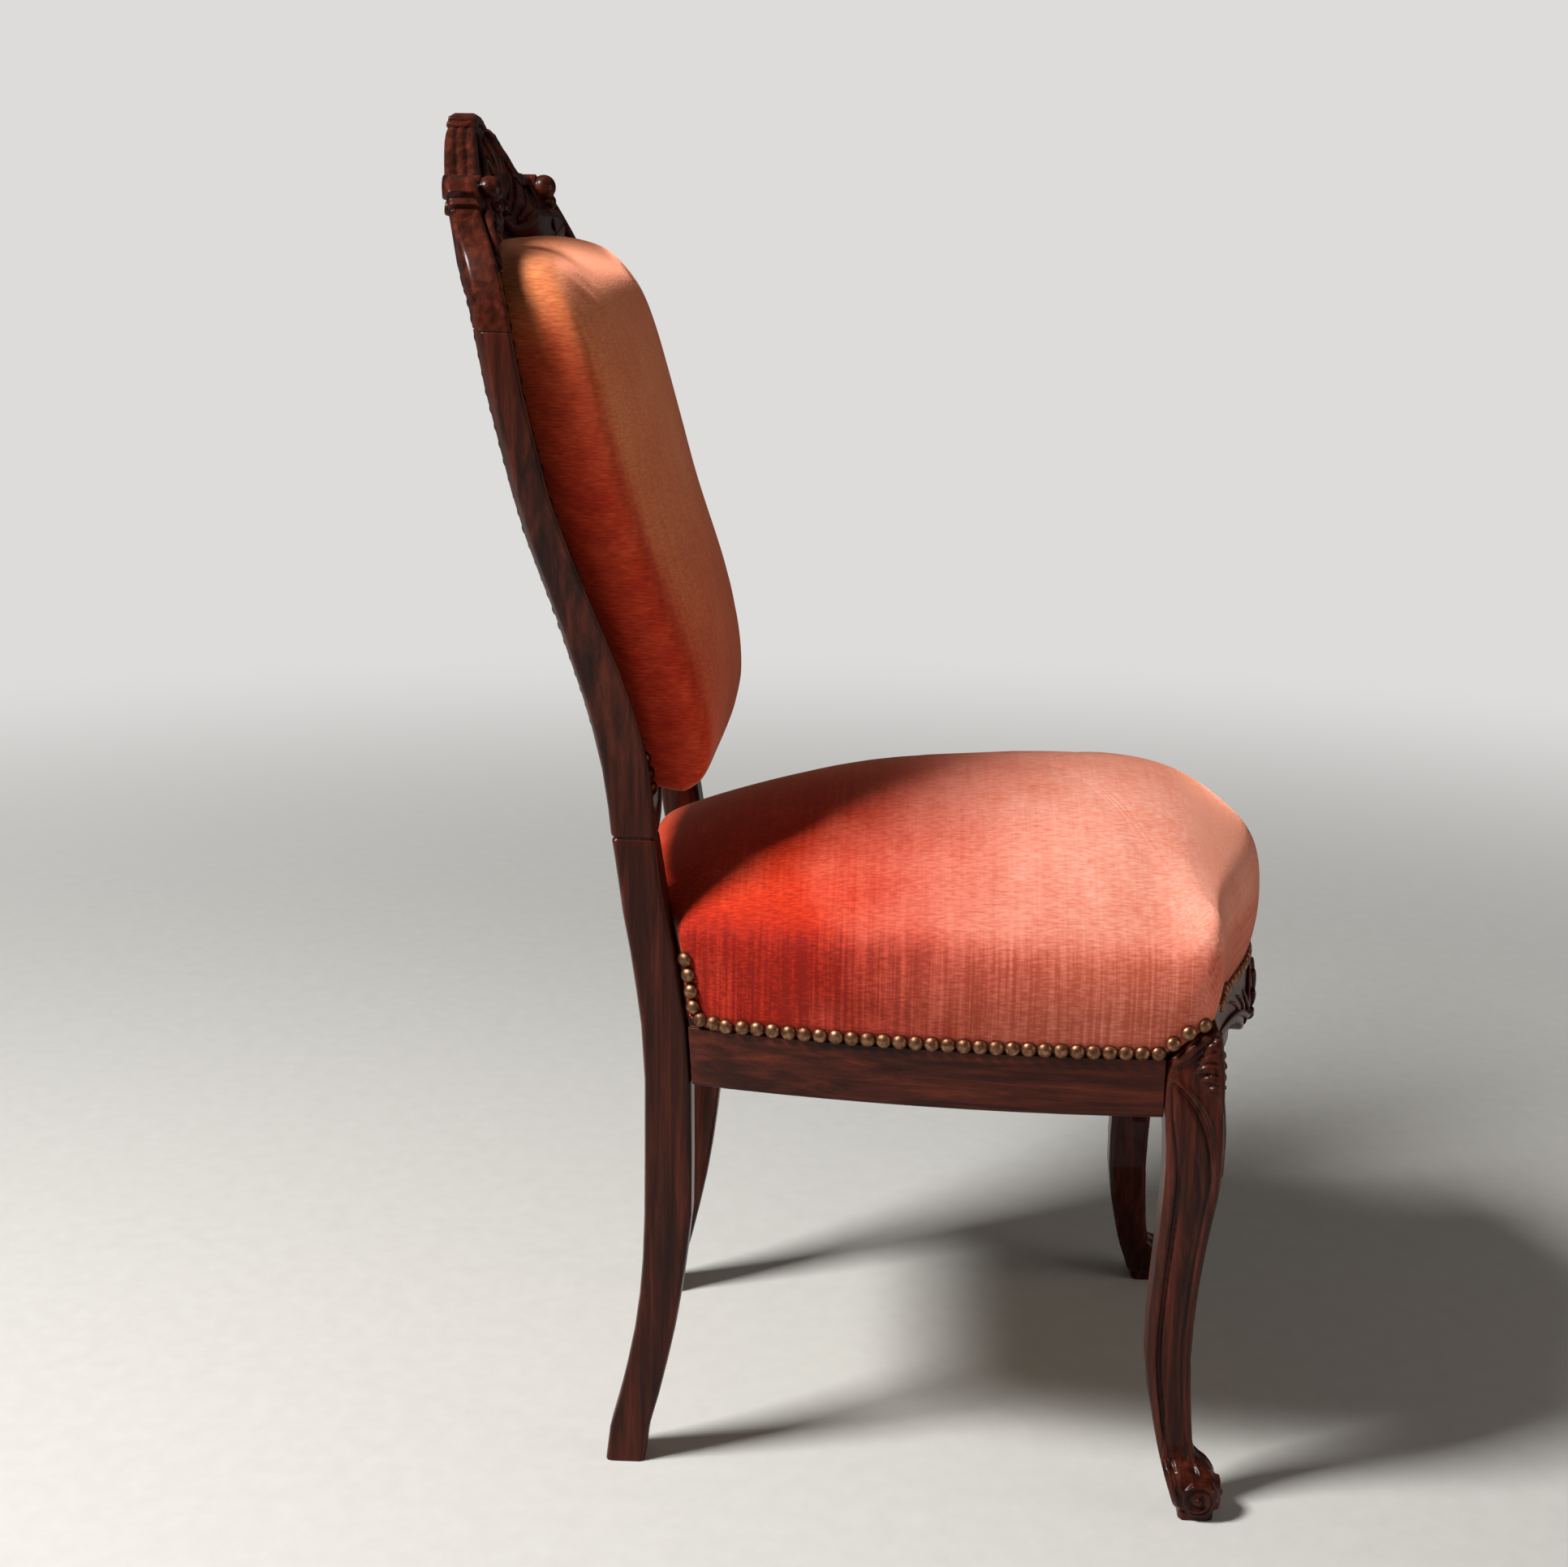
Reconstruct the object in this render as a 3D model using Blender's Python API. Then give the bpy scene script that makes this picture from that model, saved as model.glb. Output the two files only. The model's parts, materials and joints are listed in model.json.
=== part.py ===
# Louis XV style side chair, sprung and upholstered in velvet, with a carved wood frame.
# Metres, +Z up. The chair faces -Y and stands on Z = 0.
# Its own right side is at -X. Lengths measured along Y start at the front feet's rear face.

import math

import bmesh
import bpy
import numpy as np
from mathutils import Vector

# Fits
joint_gap = 0.0003
panel_gap = 0.0010
cut_overrun = 0.002

# Heights: the rails stand on the legs, the back stands on the rails
rail_underside_height = 0.297
rail_height = 0.069
nail_band_height = 0.026
waist_rise = 0.110
crest_joint_rise = 0.349
shoulder_rise = 0.422
crest_rise = 0.140

# Reach along the chair's depth
seat_front_reach = 0.068
crest_reach = 0.543
post_reach = 0.386
leg_kick = 0.0285
waist_kick = 0.0225
back_rake = 0.1005

# Half widths
front_datum_half = 0.193
side_rail_set = 0.011
post_half = 0.168
rear_foot_half = 0.162
waist_half = 0.168
back_half = 0.226

# Wood sections
leg_depth = 0.034
stile_depth = 0.022
post_width = 0.034
rear_foot_width = 0.028
frame_width = 0.036
edge_radius = 0.004
waist_groove = 0.0015
rail_width = 0.024
rail_rebate = 0.004
rail_edge_round = 0.003
side_bow = 0.015
front_set = 0.011
front_bow = 0.044
apron_depth = 0.011
apron_lift = 0.028

# Front leg
toe_reach = 0.0285
ankle_setback = 0.026
bead_relief = 0.0022
leg_chamfer = 0.004

# Back frame moulding
frame_bead = 0.007
frame_groove = 0.003
frame_groove_depth = 0.003
frame_hollow = 0.0012
crest_swell = 0.014
tack_ledge = 0.012
tack_ledge_depth = 0.004
ledge_lip = 0.001
back_sag = 0.026
sag_half = 0.197
knob_radius = 0.008
knob_proud = 0.002
knob_half_spread = 0.130
knob_drop = 0.0505
eye_radius = 0.0065
eye_proud = 0.012
cartouche_half_width = 0.034
cartouche_half_height = 0.030
cartouche_proud = 0.010
cartouche_drop = 0.040

# Lower back rail
lower_rail_height = 0.036
lower_rail_arch = 0.022

# Joinery
tenon_length = 0.018
front_tenon_length = 0.015
tenon_thickness = 0.010
tenon_shoulder = 0.012
dowel_radius = 0.004
dowel_length = 0.050
block_run = 0.052
block_height = 0.038

# Front rail centre ornament
shell_half_width = 0.030
shell_proud = 0.0045

# Springs and webbing
strap_width = 0.050
strap_thickness = 0.0015
strap_count = 3
strap_land = 0.018
strap_middle_share = 0.4612
strap_pitch_share = 0.2125
spring_wire_radius = 0.0019
spring_end_radius = 0.034
spring_waist_radius = 0.022
spring_height = 0.120
spring_curls = 4.5
spring_curl_points = 8
spring_pitch_share = 0.1865

# Upholstery
cloth_thickness = 0.002
hessian_thickness = 0.0012
seat_bulge = 0.0125
seat_centre = 0.101
seat_crown_rise = 0.163
seat_side_rise = 0.072
seat_corner_rise = 0.105
seat_corner_run = 0.045
seat_rear_drop = 0.034
seat_corner_round = 0.014
knee_rise = 0.0205
knee_run = 0.028
back_crown = 0.106
back_wall = 0.057
back_bulge = 0.007
back_centre_rise = 0.224
outer_cover_inset = 0.005

# Depth of the front feet's rear face, which centres the chair on the origin
datum_y = (seat_front_reach - crest_reach) / 2

# Levels that follow from the heights
rail_top = rail_underside_height + rail_height
nail_height = rail_top - nail_band_height
waist_height = rail_top + waist_rise
crest_joint_height = waist_height + crest_joint_rise
shoulder_height = waist_height + shoulder_rise
overall_height = crest_joint_height + crest_rise
back_centre_height = waist_height + back_centre_rise

# Places that follow from the reach and the half widths
side_rail_front_half = front_datum_half + side_rail_set
strap_middle = post_reach * strap_middle_share
strap_pitch = post_reach * strap_pitch_share
spring_half_pitch = post_reach * spring_pitch_share

# Finishes: colour, roughness, metallic
finishes = {
    "rosewood": ((0.030, 0.009, 0.007), 0.32, 0.0),
    "velvet": ((0.560, 0.058, 0.022), 0.85, 0.0),
    "beech": ((0.420, 0.270, 0.140), 0.60, 0.0),
    "jute": ((0.330, 0.220, 0.110), 0.90, 0.0),
    "horsehair": ((0.060, 0.045, 0.035), 0.95, 0.0),
    "spring_steel": ((0.350, 0.300, 0.250), 0.45, 1.0),
}

# Rear edge of the sabre leg: share of the rail's height, share of the kick
sabre_shares = [
    (0.00, 1.00), (0.09, 0.89), (0.18, 0.64), (0.27, 0.43), (0.39, 0.20),
    (0.51, 0.07), (0.63, 0.01), (0.84, 0.00), (1.00, 0.00),
]
# Rear edge from the rails to the waist: share of that rise, share of the waist's kick
post_shares = [
    (0.00, 0.00), (0.12, 0.03), (0.21, 0.09), (0.33, 0.22), (0.49, 0.39),
    (0.63, 0.61), (0.79, 0.80), (0.91, 0.92), (1.00, 1.00),
]
# Rear edge from the waist to the shoulder: share of that rise, share of the rake
rake_shares = [
    (0.00, 0.00), (0.07, 0.005), (0.12, 0.02), (0.18, 0.06), (0.22, 0.105), (0.28, 0.19),
    (0.36, 0.30), (0.44, 0.43), (0.53, 0.566), (0.62, 0.67), (0.75, 0.81), (0.89, 0.92),
    (1.00, 1.00), (1.08, 1.045), (1.16, 1.09),
]
# Depth of leg and stile: share of the shoulder's height, share between the two depths
depth_shares = [
    (0.00, 0.54), (0.09, 0.58), (0.16, 0.70), (0.225, 1.00), (0.33, 0.93), (0.435, 0.83),
    (0.507, 0.70), (0.53, 0.75), (0.585, 0.90), (0.66, 0.75), (0.71, 0.42), (0.76, 0.25),
    (0.805, 0.02), (0.92, 0.00), (1.00, 0.10),
]
# Outer edge of the back: share of the rise from waist to shoulder, share of its widening
spread_shares = [
    (0.00, 0.00), (0.10, 0.02), (0.20, 0.12), (0.30, 0.27), (0.40, 0.45), (0.50, 0.63),
    (0.60, 0.79), (0.70, 0.91), (0.78, 0.98), (0.827, 1.00),
]
# Crest from the joint to the centre: outer and inner edge as shares of the back's half
# width, and of the height from the joint to the top
crest_shares = [
    (1.000, 0.000, 0.8407, 0.000), (0.992, 0.120, 0.838, 0.055), (0.975, 0.220, 0.828, 0.103),
    (0.947, 0.320, 0.805, 0.147), (0.903, 0.392, 0.775, 0.180), (0.854, 0.443, 0.740, 0.205),
    (0.800, 0.490, 0.705, 0.223), (0.770, 0.514, 0.680, 0.232), (0.737, 0.540, 0.660, 0.239),
    (0.748, 0.568, 0.645, 0.243), (0.730, 0.593, 0.630, 0.247), (0.743, 0.625, 0.615, 0.251),
    (0.718, 0.665, 0.595, 0.255), (0.660, 0.690, 0.560, 0.261), (0.575, 0.690, 0.515, 0.267),
    (0.495, 0.688, 0.460, 0.273), (0.440, 0.690, 0.410, 0.278), (0.385, 0.728, 0.350, 0.283),
    (0.330, 0.778, 0.290, 0.287), (0.270, 0.832, 0.230, 0.290), (0.215, 0.880, 0.180, 0.292),
    (0.165, 0.912, 0.135, 0.293), (0.115, 0.922, 0.095, 0.294), (0.088, 0.960, 0.065, 0.294),
    (0.050, 0.990, 0.035, 0.295), (0.000, 1.000, 0.000, 0.295),
]
# Depth of the crest: share of the back's half width from the centre, share of the stile
crest_depth_shares = [
    (0.00, 0.95), (0.10, 0.98), (0.20, 1.04), (0.35, 1.10), (0.60, 1.05), (0.80, 1.00), (1.00, 1.00),
]
# Swell of the crest's carved field: share of the crest's rise, share of the full swell
crest_swell_shares = [
    (0.00, 0.00), (0.40, 0.00), (0.47, 0.30), (0.54, 0.85), (0.62, 1.00), (0.70, 1.00),
    (0.78, 0.80), (0.90, 0.50), (1.00, 0.40),
]
# Front leg: share of the rail's height, share of the toe's reach, share of the setback
cabriole_shares = [
    (0.000, 0.877, 0.000), (0.020, 0.877, 0.000), (0.023, 0.790, 0.060),
    (0.036, 0.930, 0.150), (0.052, 0.985, 0.210), (0.069, 1.000, 0.270),
    (0.088, 0.965, 0.340), (0.104, 0.870, 0.400), (0.118, 0.740, 0.450),
    (0.128, 0.570, 0.485), (0.139, 0.440, 0.520), (0.168, 0.370, 0.600),
    (0.212, 0.316, 0.700), (0.290, 0.255, 0.865), (0.380, 0.210, 0.980),
    (0.470, 0.235, 0.990), (0.566, 0.300, 0.935), (0.640, 0.375, 0.885),
    (0.710, 0.463, 0.846), (0.790, 0.580, 0.805), (0.830, 0.632, 0.790),
    (0.880, 0.662, 0.780), (0.940, 0.665, 0.805), (1.000, 0.645, 0.860),
    (1.060, 0.560, 0.885), (1.144, 0.430, 0.885),
]
# One face of the front leg: share of the face from its rear edge, share of the relief
face_shares = [
    (0.11, 0.60), (0.15, 0.05), (0.21, 0.15), (0.27, 1.00), (0.35, 0.50),
    (0.60, 0.50), (0.68, 1.00), (0.75, 0.15), (0.84, 0.00),
]
# Relief of the beads: share of the rail's height, share of the full relief
relief_shares = [(0.00, 0.0), (0.13, 0.0), (0.18, 1.0), (0.90, 1.0), (0.965, 0.0), (1.2, 0.0)]
# How far the front bead has swept forward, by share of the rail's height
fan_shares = [(0.00, 1.00), (0.78, 1.00), (0.86, 0.82), (0.92, 0.45), (0.96, 0.10), (1.20, 0.10)]
# Wall of the seat pad: share of the bulge, share of the wall's height
seat_wall_shares = [(0.0, 0.0), (0.6, 0.22), (0.95, 0.45), (1.0, 0.65), (0.8, 0.85), (0.35, 1.0)]
# Rows of the top of either pad: share of the way in to its middle
seat_top_shares = [0.05, 0.13, 0.25, 0.40, 0.58, 0.78]
back_top_shares = [0.05, 0.13, 0.25, 0.42, 0.68]
# Middle line of the seat's top: share of the way from the front edge to the crown, share
# of the crown's rise; then from the crown to the rear edge, share of the fall
front_roll_shares = [
    (0.00, 0.704), (0.04, 0.753), (0.16, 0.845), (0.33, 0.931), (0.49, 0.974), (0.66, 0.992), (1.00, 1.0),
]
rear_fall_shares = [
    (0.00, 0.00), (0.155, 0.04), (0.34, 0.11), (0.52, 0.267), (0.71, 0.505), (0.87, 0.76), (1.00, 1.00),
]
# How the tops fall away sideways
seat_dome_power = 2.2
back_dome_power = 2.0
# Hessian over the springs: share of the way in, share of its rise over the rails
seat_hessian_shares = [(0.00, 0.00), (0.00, 0.12), (0.20, 0.96), (0.28, 1.00), (0.65, 1.00)]
# Underside of the front rail's apron: share of the way to the leg, share of the lift
apron_shares = [
    (0.00, 0.09), (0.10, 0.10), (0.22, 0.40), (0.38, 0.85), (0.55, 1.00), (0.75, 1.00),
    (0.90, 0.9), (1.00, 0.8),
]
# Wall of the back pad: share of the bulge, share of the wall's height
back_wall_shares = [(0.0, 0.0), (0.1, 0.10), (0.8, 0.35), (1.0, 0.60), (0.75, 0.85), (0.3, 1.0)]
# Side walls of the back pad: share of the way from the lobes to the top, share of the wall
back_side_shares = [
    (0.00, 0.50), (0.04, 0.72), (0.09, 0.91), (0.16, 1.00), (0.76, 1.00), (0.86, 0.92),
    (0.94, 0.74), (1.00, 0.48),
]
# Middle line of the back pad: share of the way from the lobes to the top, share of the crown
back_crown_shares = [
    (0.00, 0.30), (0.045, 0.47), (0.10, 0.65), (0.145, 0.735), (0.21, 0.81), (0.28, 0.89), (0.365, 0.945),
    (0.47, 0.97), (0.62, 1.00), (0.71, 0.98), (0.80, 0.955), (0.89, 0.905), (0.935, 0.83), (0.97, 0.715),
    (1.00, 0.56),
]
# Rings of the flat cloths, by the share of the way in
sheet_shares = (0.0, 0.35, 0.7)
# Widths of the bowed rails measured across the chair or along it, as shares of their own
side_slant_share = 1.03
front_slant_share = 1.065


# Smooth curve through hand-chosen knots
def smooth(knots, t):
    x = np.array([k[0] for k in knots], float)
    y = np.array([k[1] for k in knots], float)
    step = np.diff(x)
    rate = np.diff(y) / step
    slope = np.zeros(len(x))
    slope[0], slope[-1] = rate[0], rate[-1]
    for i in range(1, len(x) - 1):
        if rate[i - 1] * rate[i] > 0:
            slope[i] = 2 * rate[i - 1] * rate[i] / (rate[i - 1] + rate[i])
    i = int(np.clip(np.searchsorted(x, t) - 1, 0, len(x) - 2))
    s = min(max((t - x[i]) / step[i], 0.0), 1.0)
    low = (1 + 2 * s) * (1 - s) ** 2 * y[i] + s * (1 - s) ** 2 * step[i] * slope[i]
    high = s * s * (3 - 2 * s) * y[i + 1] + s * s * (s - 1) * step[i] * slope[i + 1]
    return float(low + high)


def ease(t):
    t = min(max(t, 0.0), 1.0)
    return t * t * (3 - 2 * t)


def blend(start, end, share):
    return start + (end - start) * share


# Side outline of the rear leg and the back
def rear_line(z):
    if z <= rail_underside_height:
        return post_reach + leg_kick * smooth(sabre_shares, z / rail_underside_height)
    if z <= waist_height:
        share = (z - rail_underside_height) / (waist_height - rail_underside_height)
        return post_reach + waist_kick * smooth(post_shares, share)
    share = (z - waist_height) / (shoulder_height - waist_height)
    return post_reach + waist_kick + back_rake * smooth(rake_shares, share)


# Height on the legs and rails, whose rings follow the leg's and the rail's own heights
def leg_height(share):
    if share <= 1:
        return rail_underside_height * share
    return blend(rail_underside_height, nail_height, (share - 1) / (cabriole_shares[-1][0] - 1))


def side_depth(z):
    share = smooth(depth_shares, z / shoulder_height)
    return blend(stile_depth, leg_depth, share)


def post_front(z):
    return rear_line(z) - side_depth(z)


def sag_at(x, z):
    rise = (z - blend(rail_top, waist_height, 0.75)) / (crest_joint_height - waist_height)
    return back_sag * ease(rise * 3) * (1 - (x / sag_half) ** 2)


# A place on the back: distance from the middle, height, distance in front of its rear face
def on_back(x, z, forward):
    return Vector((x, datum_y + rear_line(z) + sag_at(x, z) - forward, z))


def stile_outer(z):
    if z <= rail_underside_height:
        return blend(rear_foot_half, post_half, z / rail_underside_height)
    if z <= waist_height:
        share = (z - rail_underside_height) / (waist_height - rail_underside_height)
        return blend(post_half, waist_half, share)
    share = (z - waist_height) / (shoulder_height - waist_height)
    return blend(waist_half, back_half, smooth(spread_shares, share))


def stile_width(z):
    if z <= rail_underside_height:
        return blend(rear_foot_width, post_width, z / rail_underside_height)
    return blend(post_width, frame_width, ease((z - waist_height) / lower_rail_height))


def stile_inner(z):
    return stile_outer(z) - stile_width(z)


# Plan of the seat rails' outer faces
def side_face(y):
    share = (y + front_set) / (post_front(rail_top) + front_set)
    return blend(side_rail_front_half, post_half, share) + side_bow * 4 * share * (1 - share)


def front_face(x):
    share = min(abs(x) / (side_rail_front_half - seat_corner_round), 1.0)
    return -front_set - front_bow * (0.5 + 0.5 * math.cos(math.pi * share))


# Materials and objects
def make_finish(name):
    colour, roughness, metallic = finishes[name]
    material = bpy.data.materials.new(name)
    material.use_nodes = True
    shader = material.node_tree.nodes["Principled BSDF"]
    shader.inputs["Base Color"].default_value = (*colour, 1.0)
    shader.inputs["Roughness"].default_value = roughness
    shader.inputs["Metallic"].default_value = metallic
    material.diffuse_color = (*colour, 1.0)
    return material


def add_object(name, bm, finish, smooth_angle=35):
    bmesh.ops.recalc_face_normals(bm, faces=bm.faces)
    if bm.calc_volume(signed=True) < 0:
        bmesh.ops.reverse_faces(bm, faces=bm.faces)
    mesh = bpy.data.meshes.new(name)
    bm.to_mesh(mesh)
    bm.free()
    obj = bpy.data.objects.new(name, mesh)
    bpy.context.scene.collection.objects.link(obj)
    if finish:
        mesh.materials.append(materials[finish])
    mesh.shade_smooth()
    mesh.set_sharp_from_angle(angle=math.radians(smooth_angle))
    return obj


def loft(name, rings, finish, smooth_angle=35):
    bm = bmesh.new()
    rows = [[bm.verts.new(point) for point in ring] for ring in rings]
    count = len(rows[0])
    for near, far in zip(rows, rows[1:]):
        for i in range(count):
            j = (i + 1) % count
            bm.faces.new((near[i], near[j], far[j], far[i]))
    bm.faces.new(rows[0])
    bm.faces.new(rows[-1])
    return add_object(name, bm, finish, smooth_angle)


# A skin of rings that ends in a middle point
def add_cap(bm, rings, middle):
    rows = [[bm.verts.new(point) for point in ring] for ring in rings]
    tip = bm.verts.new(middle)
    count = len(rows[0])
    for near, far in zip(rows, rows[1:]):
        for i in range(count):
            j = (i + 1) % count
            bm.faces.new((near[i], near[j], far[j], far[i]))
    for i in range(count):
        bm.faces.new((rows[-1][i], rows[-1][(i + 1) % count], tip))
    return rows[0]


def shell(name, outer, outer_middle, inner, inner_middle, finish, smooth_angle=40):
    bm = bmesh.new()
    rim = add_cap(bm, outer, outer_middle)
    lining = add_cap(bm, inner, inner_middle)
    join_rims(bm, rim, lining)
    return add_object(name, bm, finish, smooth_angle)


# Joins two edge rings that start level with each other, whatever their counts
def join_rims(bm, rim, lining):
    i = j = 0
    while i < len(rim) or j < len(lining):
        here, there = rim[i % len(rim)], lining[j % len(lining)]
        ahead, beyond = rim[(i + 1) % len(rim)], lining[(j + 1) % len(lining)]
        across = (ahead.co - there.co).length
        back = (beyond.co - here.co).length
        if j >= len(lining) or (i < len(rim) and across <= back):
            bm.faces.new((here, ahead, there))
            i += 1
        else:
            bm.faces.new((here, beyond, there))
            j += 1


# The same skin moved inwards by a distance, square to its surface
def sink(rings, middle, distance):
    bm = bmesh.new()
    add_cap(bm, rings, middle)
    bm.normal_update()
    bm.verts.ensure_lookup_table()
    away = 1.0 if bm.verts[-1].normal.dot(facing(rings, middle)) > 0 else -1.0
    points = [vert.co - vert.normal * distance * away for vert in bm.verts]
    bm.free()
    count = len(rings[0])
    sunk = [points[i * count:(i + 1) * count] for i in range(len(rings))]
    return [list(ring) for ring in sunk], points[-1]


def facing(rings, middle):
    centre = sum((Vector(point) for point in rings[0]), Vector()) / len(rings[0])
    return Vector(middle) - centre


def add_box(name, low, high, finish=None):
    bm = bmesh.new()
    bmesh.ops.create_cube(bm, size=1.0)
    for vert in bm.verts:
        for i in range(3):
            vert.co[i] = low[i] if vert.co[i] < 0 else high[i]
    return add_object(name, bm, finish)


def add_rod(name, start, end, radius, sides, finish=None):
    start, end = Vector(start), Vector(end)
    bm = bmesh.new()
    bmesh.ops.create_cone(
        bm, cap_ends=True, segments=sides, radius1=radius, radius2=radius,
        depth=(end - start).length)
    turn = Vector((0, 0, 1)).rotation_difference(end - start)
    for vert in bm.verts:
        vert.co = turn @ vert.co + (start + end) / 2
    return add_object(name, bm, finish)


def combine(target, tool, operation):
    modifier = target.modifiers.new(operation, "BOOLEAN")
    modifier.operation = operation
    modifier.solver = "EXACT"
    modifier.object = tool
    graph = bpy.context.evaluated_depsgraph_get()
    mesh = bpy.data.meshes.new_from_object(target.evaluated_get(graph))
    target.modifiers.clear()
    target.data = mesh
    mesh.name = target.name
    bpy.data.objects.remove(tool)
    mesh.shade_smooth()
    mesh.set_sharp_from_angle(angle=math.radians(35))


# A tenon's box grows by the joint gap where it becomes a mortise
def tenon(target, low, high):
    combine(target, add_box("tenon", low, high), "UNION")


def mortise(target, low, high):
    low = [value - joint_gap for value in low]
    high = [value + joint_gap for value in high]
    combine(target, add_box("mortise", low, high), "DIFFERENCE")


def mirrored(low, high, side):
    xs = sorted((low[0] * side, high[0] * side))
    return (xs[0], low[1], low[2]), (xs[1], high[1], high[2])


# Tenons of the seat rails and of the lower back rail, for the chair's left side
def side_tenon_front():
    y = datum_y + leg_back_face() + joint_gap
    x = side_face(leg_back_face()) - rail_width / 2
    low = (x - tenon_thickness / 2, y - tenon_length, rail_underside_height + tenon_shoulder)
    high = (x + tenon_thickness / 2, y + cut_overrun, rail_top - tenon_shoulder)
    return low, high


def side_tenon_rear():
    y = datum_y + post_front(rail_top)
    x = post_half - post_width / 2 - side_tenon_shift()
    low = (x - tenon_thickness / 2, y - tenon_thickness, rail_underside_height + tenon_shoulder)
    high = (x + tenon_thickness / 2, y + tenon_length, rail_top - tenon_shoulder)
    return low, high


def side_tenon_shift():
    return (rail_width - post_width) / 2


def front_tenon():
    x = leg_inner_face() - joint_gap
    back = front_face(leg_inner_face()) + rail_width - edge_radius / 2
    y = datum_y + back - tenon_thickness / 2
    low = (x - cut_overrun, y - tenon_thickness / 2, rail_underside_height + tenon_shoulder)
    high = (x + front_tenon_length, y + tenon_thickness / 2, rail_top - tenon_shoulder)
    return low, high


def rear_tenon():
    x = stile_inner(rail_underside_height) - joint_gap
    y = datum_y + rear_rail_middle()
    low = (x - cut_overrun, y - tenon_thickness / 2, rail_underside_height + tenon_shoulder)
    high = (x + tenon_length - tenon_thickness / 2, y + tenon_thickness / 2, rail_top - tenon_shoulder)
    return low, high


def back_tenon():
    z = waist_height + lower_rail_height / 2
    x = stile_inner(z)
    middle = on_back(x, z, side_depth(z) / 2)
    half = tenon_thickness / 2
    low = (x - tenon_shoulder, middle.y - half, z - tenon_thickness)
    high = (x + tenon_length, middle.y + half, z + tenon_thickness)
    return low, high


def leg_back_face():
    return ankle_setback * cabriole_shares[-1][2]


def leg_inner_face():
    return front_datum_half - leg_back_face()


def rear_rail_middle():
    return post_reach - leg_depth / 2 + waist_groove


# How far the knee has risen over the side rail's nails
def knee_lift(forward):
    return knee_rise * ease((forward + leg_back_face()) / knee_run)


# Cabriole front leg: both outer faces carry two beads round a sunk panel
def leg_face(inner, outer, share):
    fan = smooth(fan_shares, share)
    relief = bead_relief * smooth(relief_shares, share)
    points = []
    for along, sunk in face_shares:
        start = face_shares[3][0]
        if along > face_shares[4][0]:
            along = start + (along - start) * (0.25 + 0.75 * fan)
        points.append((blend(-inner, outer, along), outer - relief * sunk))
    return points


def leg_ring(side, z, outer, inner, share, corner=leg_chamfer, lift=0):
    face = leg_face(inner, outer, share)
    nose = outer - corner * 0.3
    ring = [(min(across, outer - corner * 1.02), out) for across, out in face[:-1]]
    ring += [(outer - corner, outer), (nose, nose), (outer, outer - corner)]
    face = [(min(across, outer - corner * 1.02), out) for across, out in face[:-1]]
    ring += [(out, across) for across, out in reversed(face)]
    ring += [(outer - leg_chamfer, -inner), (-inner + leg_chamfer, -inner)]
    ring += [(-inner, -inner + leg_chamfer), (-inner, outer - leg_chamfer)]
    points = []
    for forward, out in ring:
        rise = lift * knee_lift(forward)
        points.append((side * (front_datum_half + out), datum_y - forward, z + rise))
    return points


def make_front_leg(side, name):
    rings = []
    for height, toe, setback in cabriole_shares:
        z = leg_height(height)
        lift = ease((height - 1) / (cabriole_shares[-1][0] - 1))
        toe, setback = toe_reach * toe, ankle_setback * setback
        rings.append(leg_ring(side, z, toe, setback, height, lift=lift))
    outer = side_rail_front_half - front_datum_half - rail_rebate
    corner = seat_corner_round - rail_rebate
    for z, lift in ((nail_height + joint_gap, 1), (rail_top, 0)):
        rings.append(leg_ring(side, z, outer, setback, height, corner, lift))
    leg = loft(name, rings, "rosewood")
    mortise(leg, *mirrored(*side_tenon_front(), side))
    mortise(leg, *mirrored(*front_tenon(), side))
    return leg


# Section of the back frame, as distances from its inner edge and from its rear face
def frame_section(width, depth, relief, ledge_from, swell=0.0):
    ledge = ledge_from - tack_ledge_depth * relief
    hollow = depth - frame_hollow * relief
    groove = depth - frame_groove_depth * relief
    near = edge_radius * 0.3
    field, end = tack_ledge + ledge_lip, width - frame_bead - frame_groove
    return [
        (near, near), (edge_radius, 0), (width - edge_radius, 0), (width - near, near),
        (width, edge_radius), (width, depth - edge_radius), (width - near, depth - near),
        (width - edge_radius, depth), (width - frame_bead, depth),
        (width - frame_bead - frame_groove / 2, groove), (end, hollow + swell * 0.1),
        (blend(field, end, 0.75), hollow + swell * 0.6), (blend(field, end, 0.45), hollow + swell),
        (field, hollow + swell * 0.2), (tack_ledge, ledge), (edge_radius, ledge),
        (near, ledge - near), (0, ledge - edge_radius), (0, edge_radius),
    ]


def frame_ring(inner, outer, depth, relief, side=1, pinch=0.0, ledge_from=None, swell=0.0):
    inner, outer = Vector(inner), Vector(outer)
    along = (outer - inner).normalized()
    width = (outer - inner).length - pinch
    depth -= 2 * pinch
    points = []
    for across, forward in frame_section(width, depth, relief, ledge_from or depth, swell):
        spot = inner + along * across
        points.append(on_back(side * spot.x, spot.y, forward + pinch))
    return points


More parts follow.
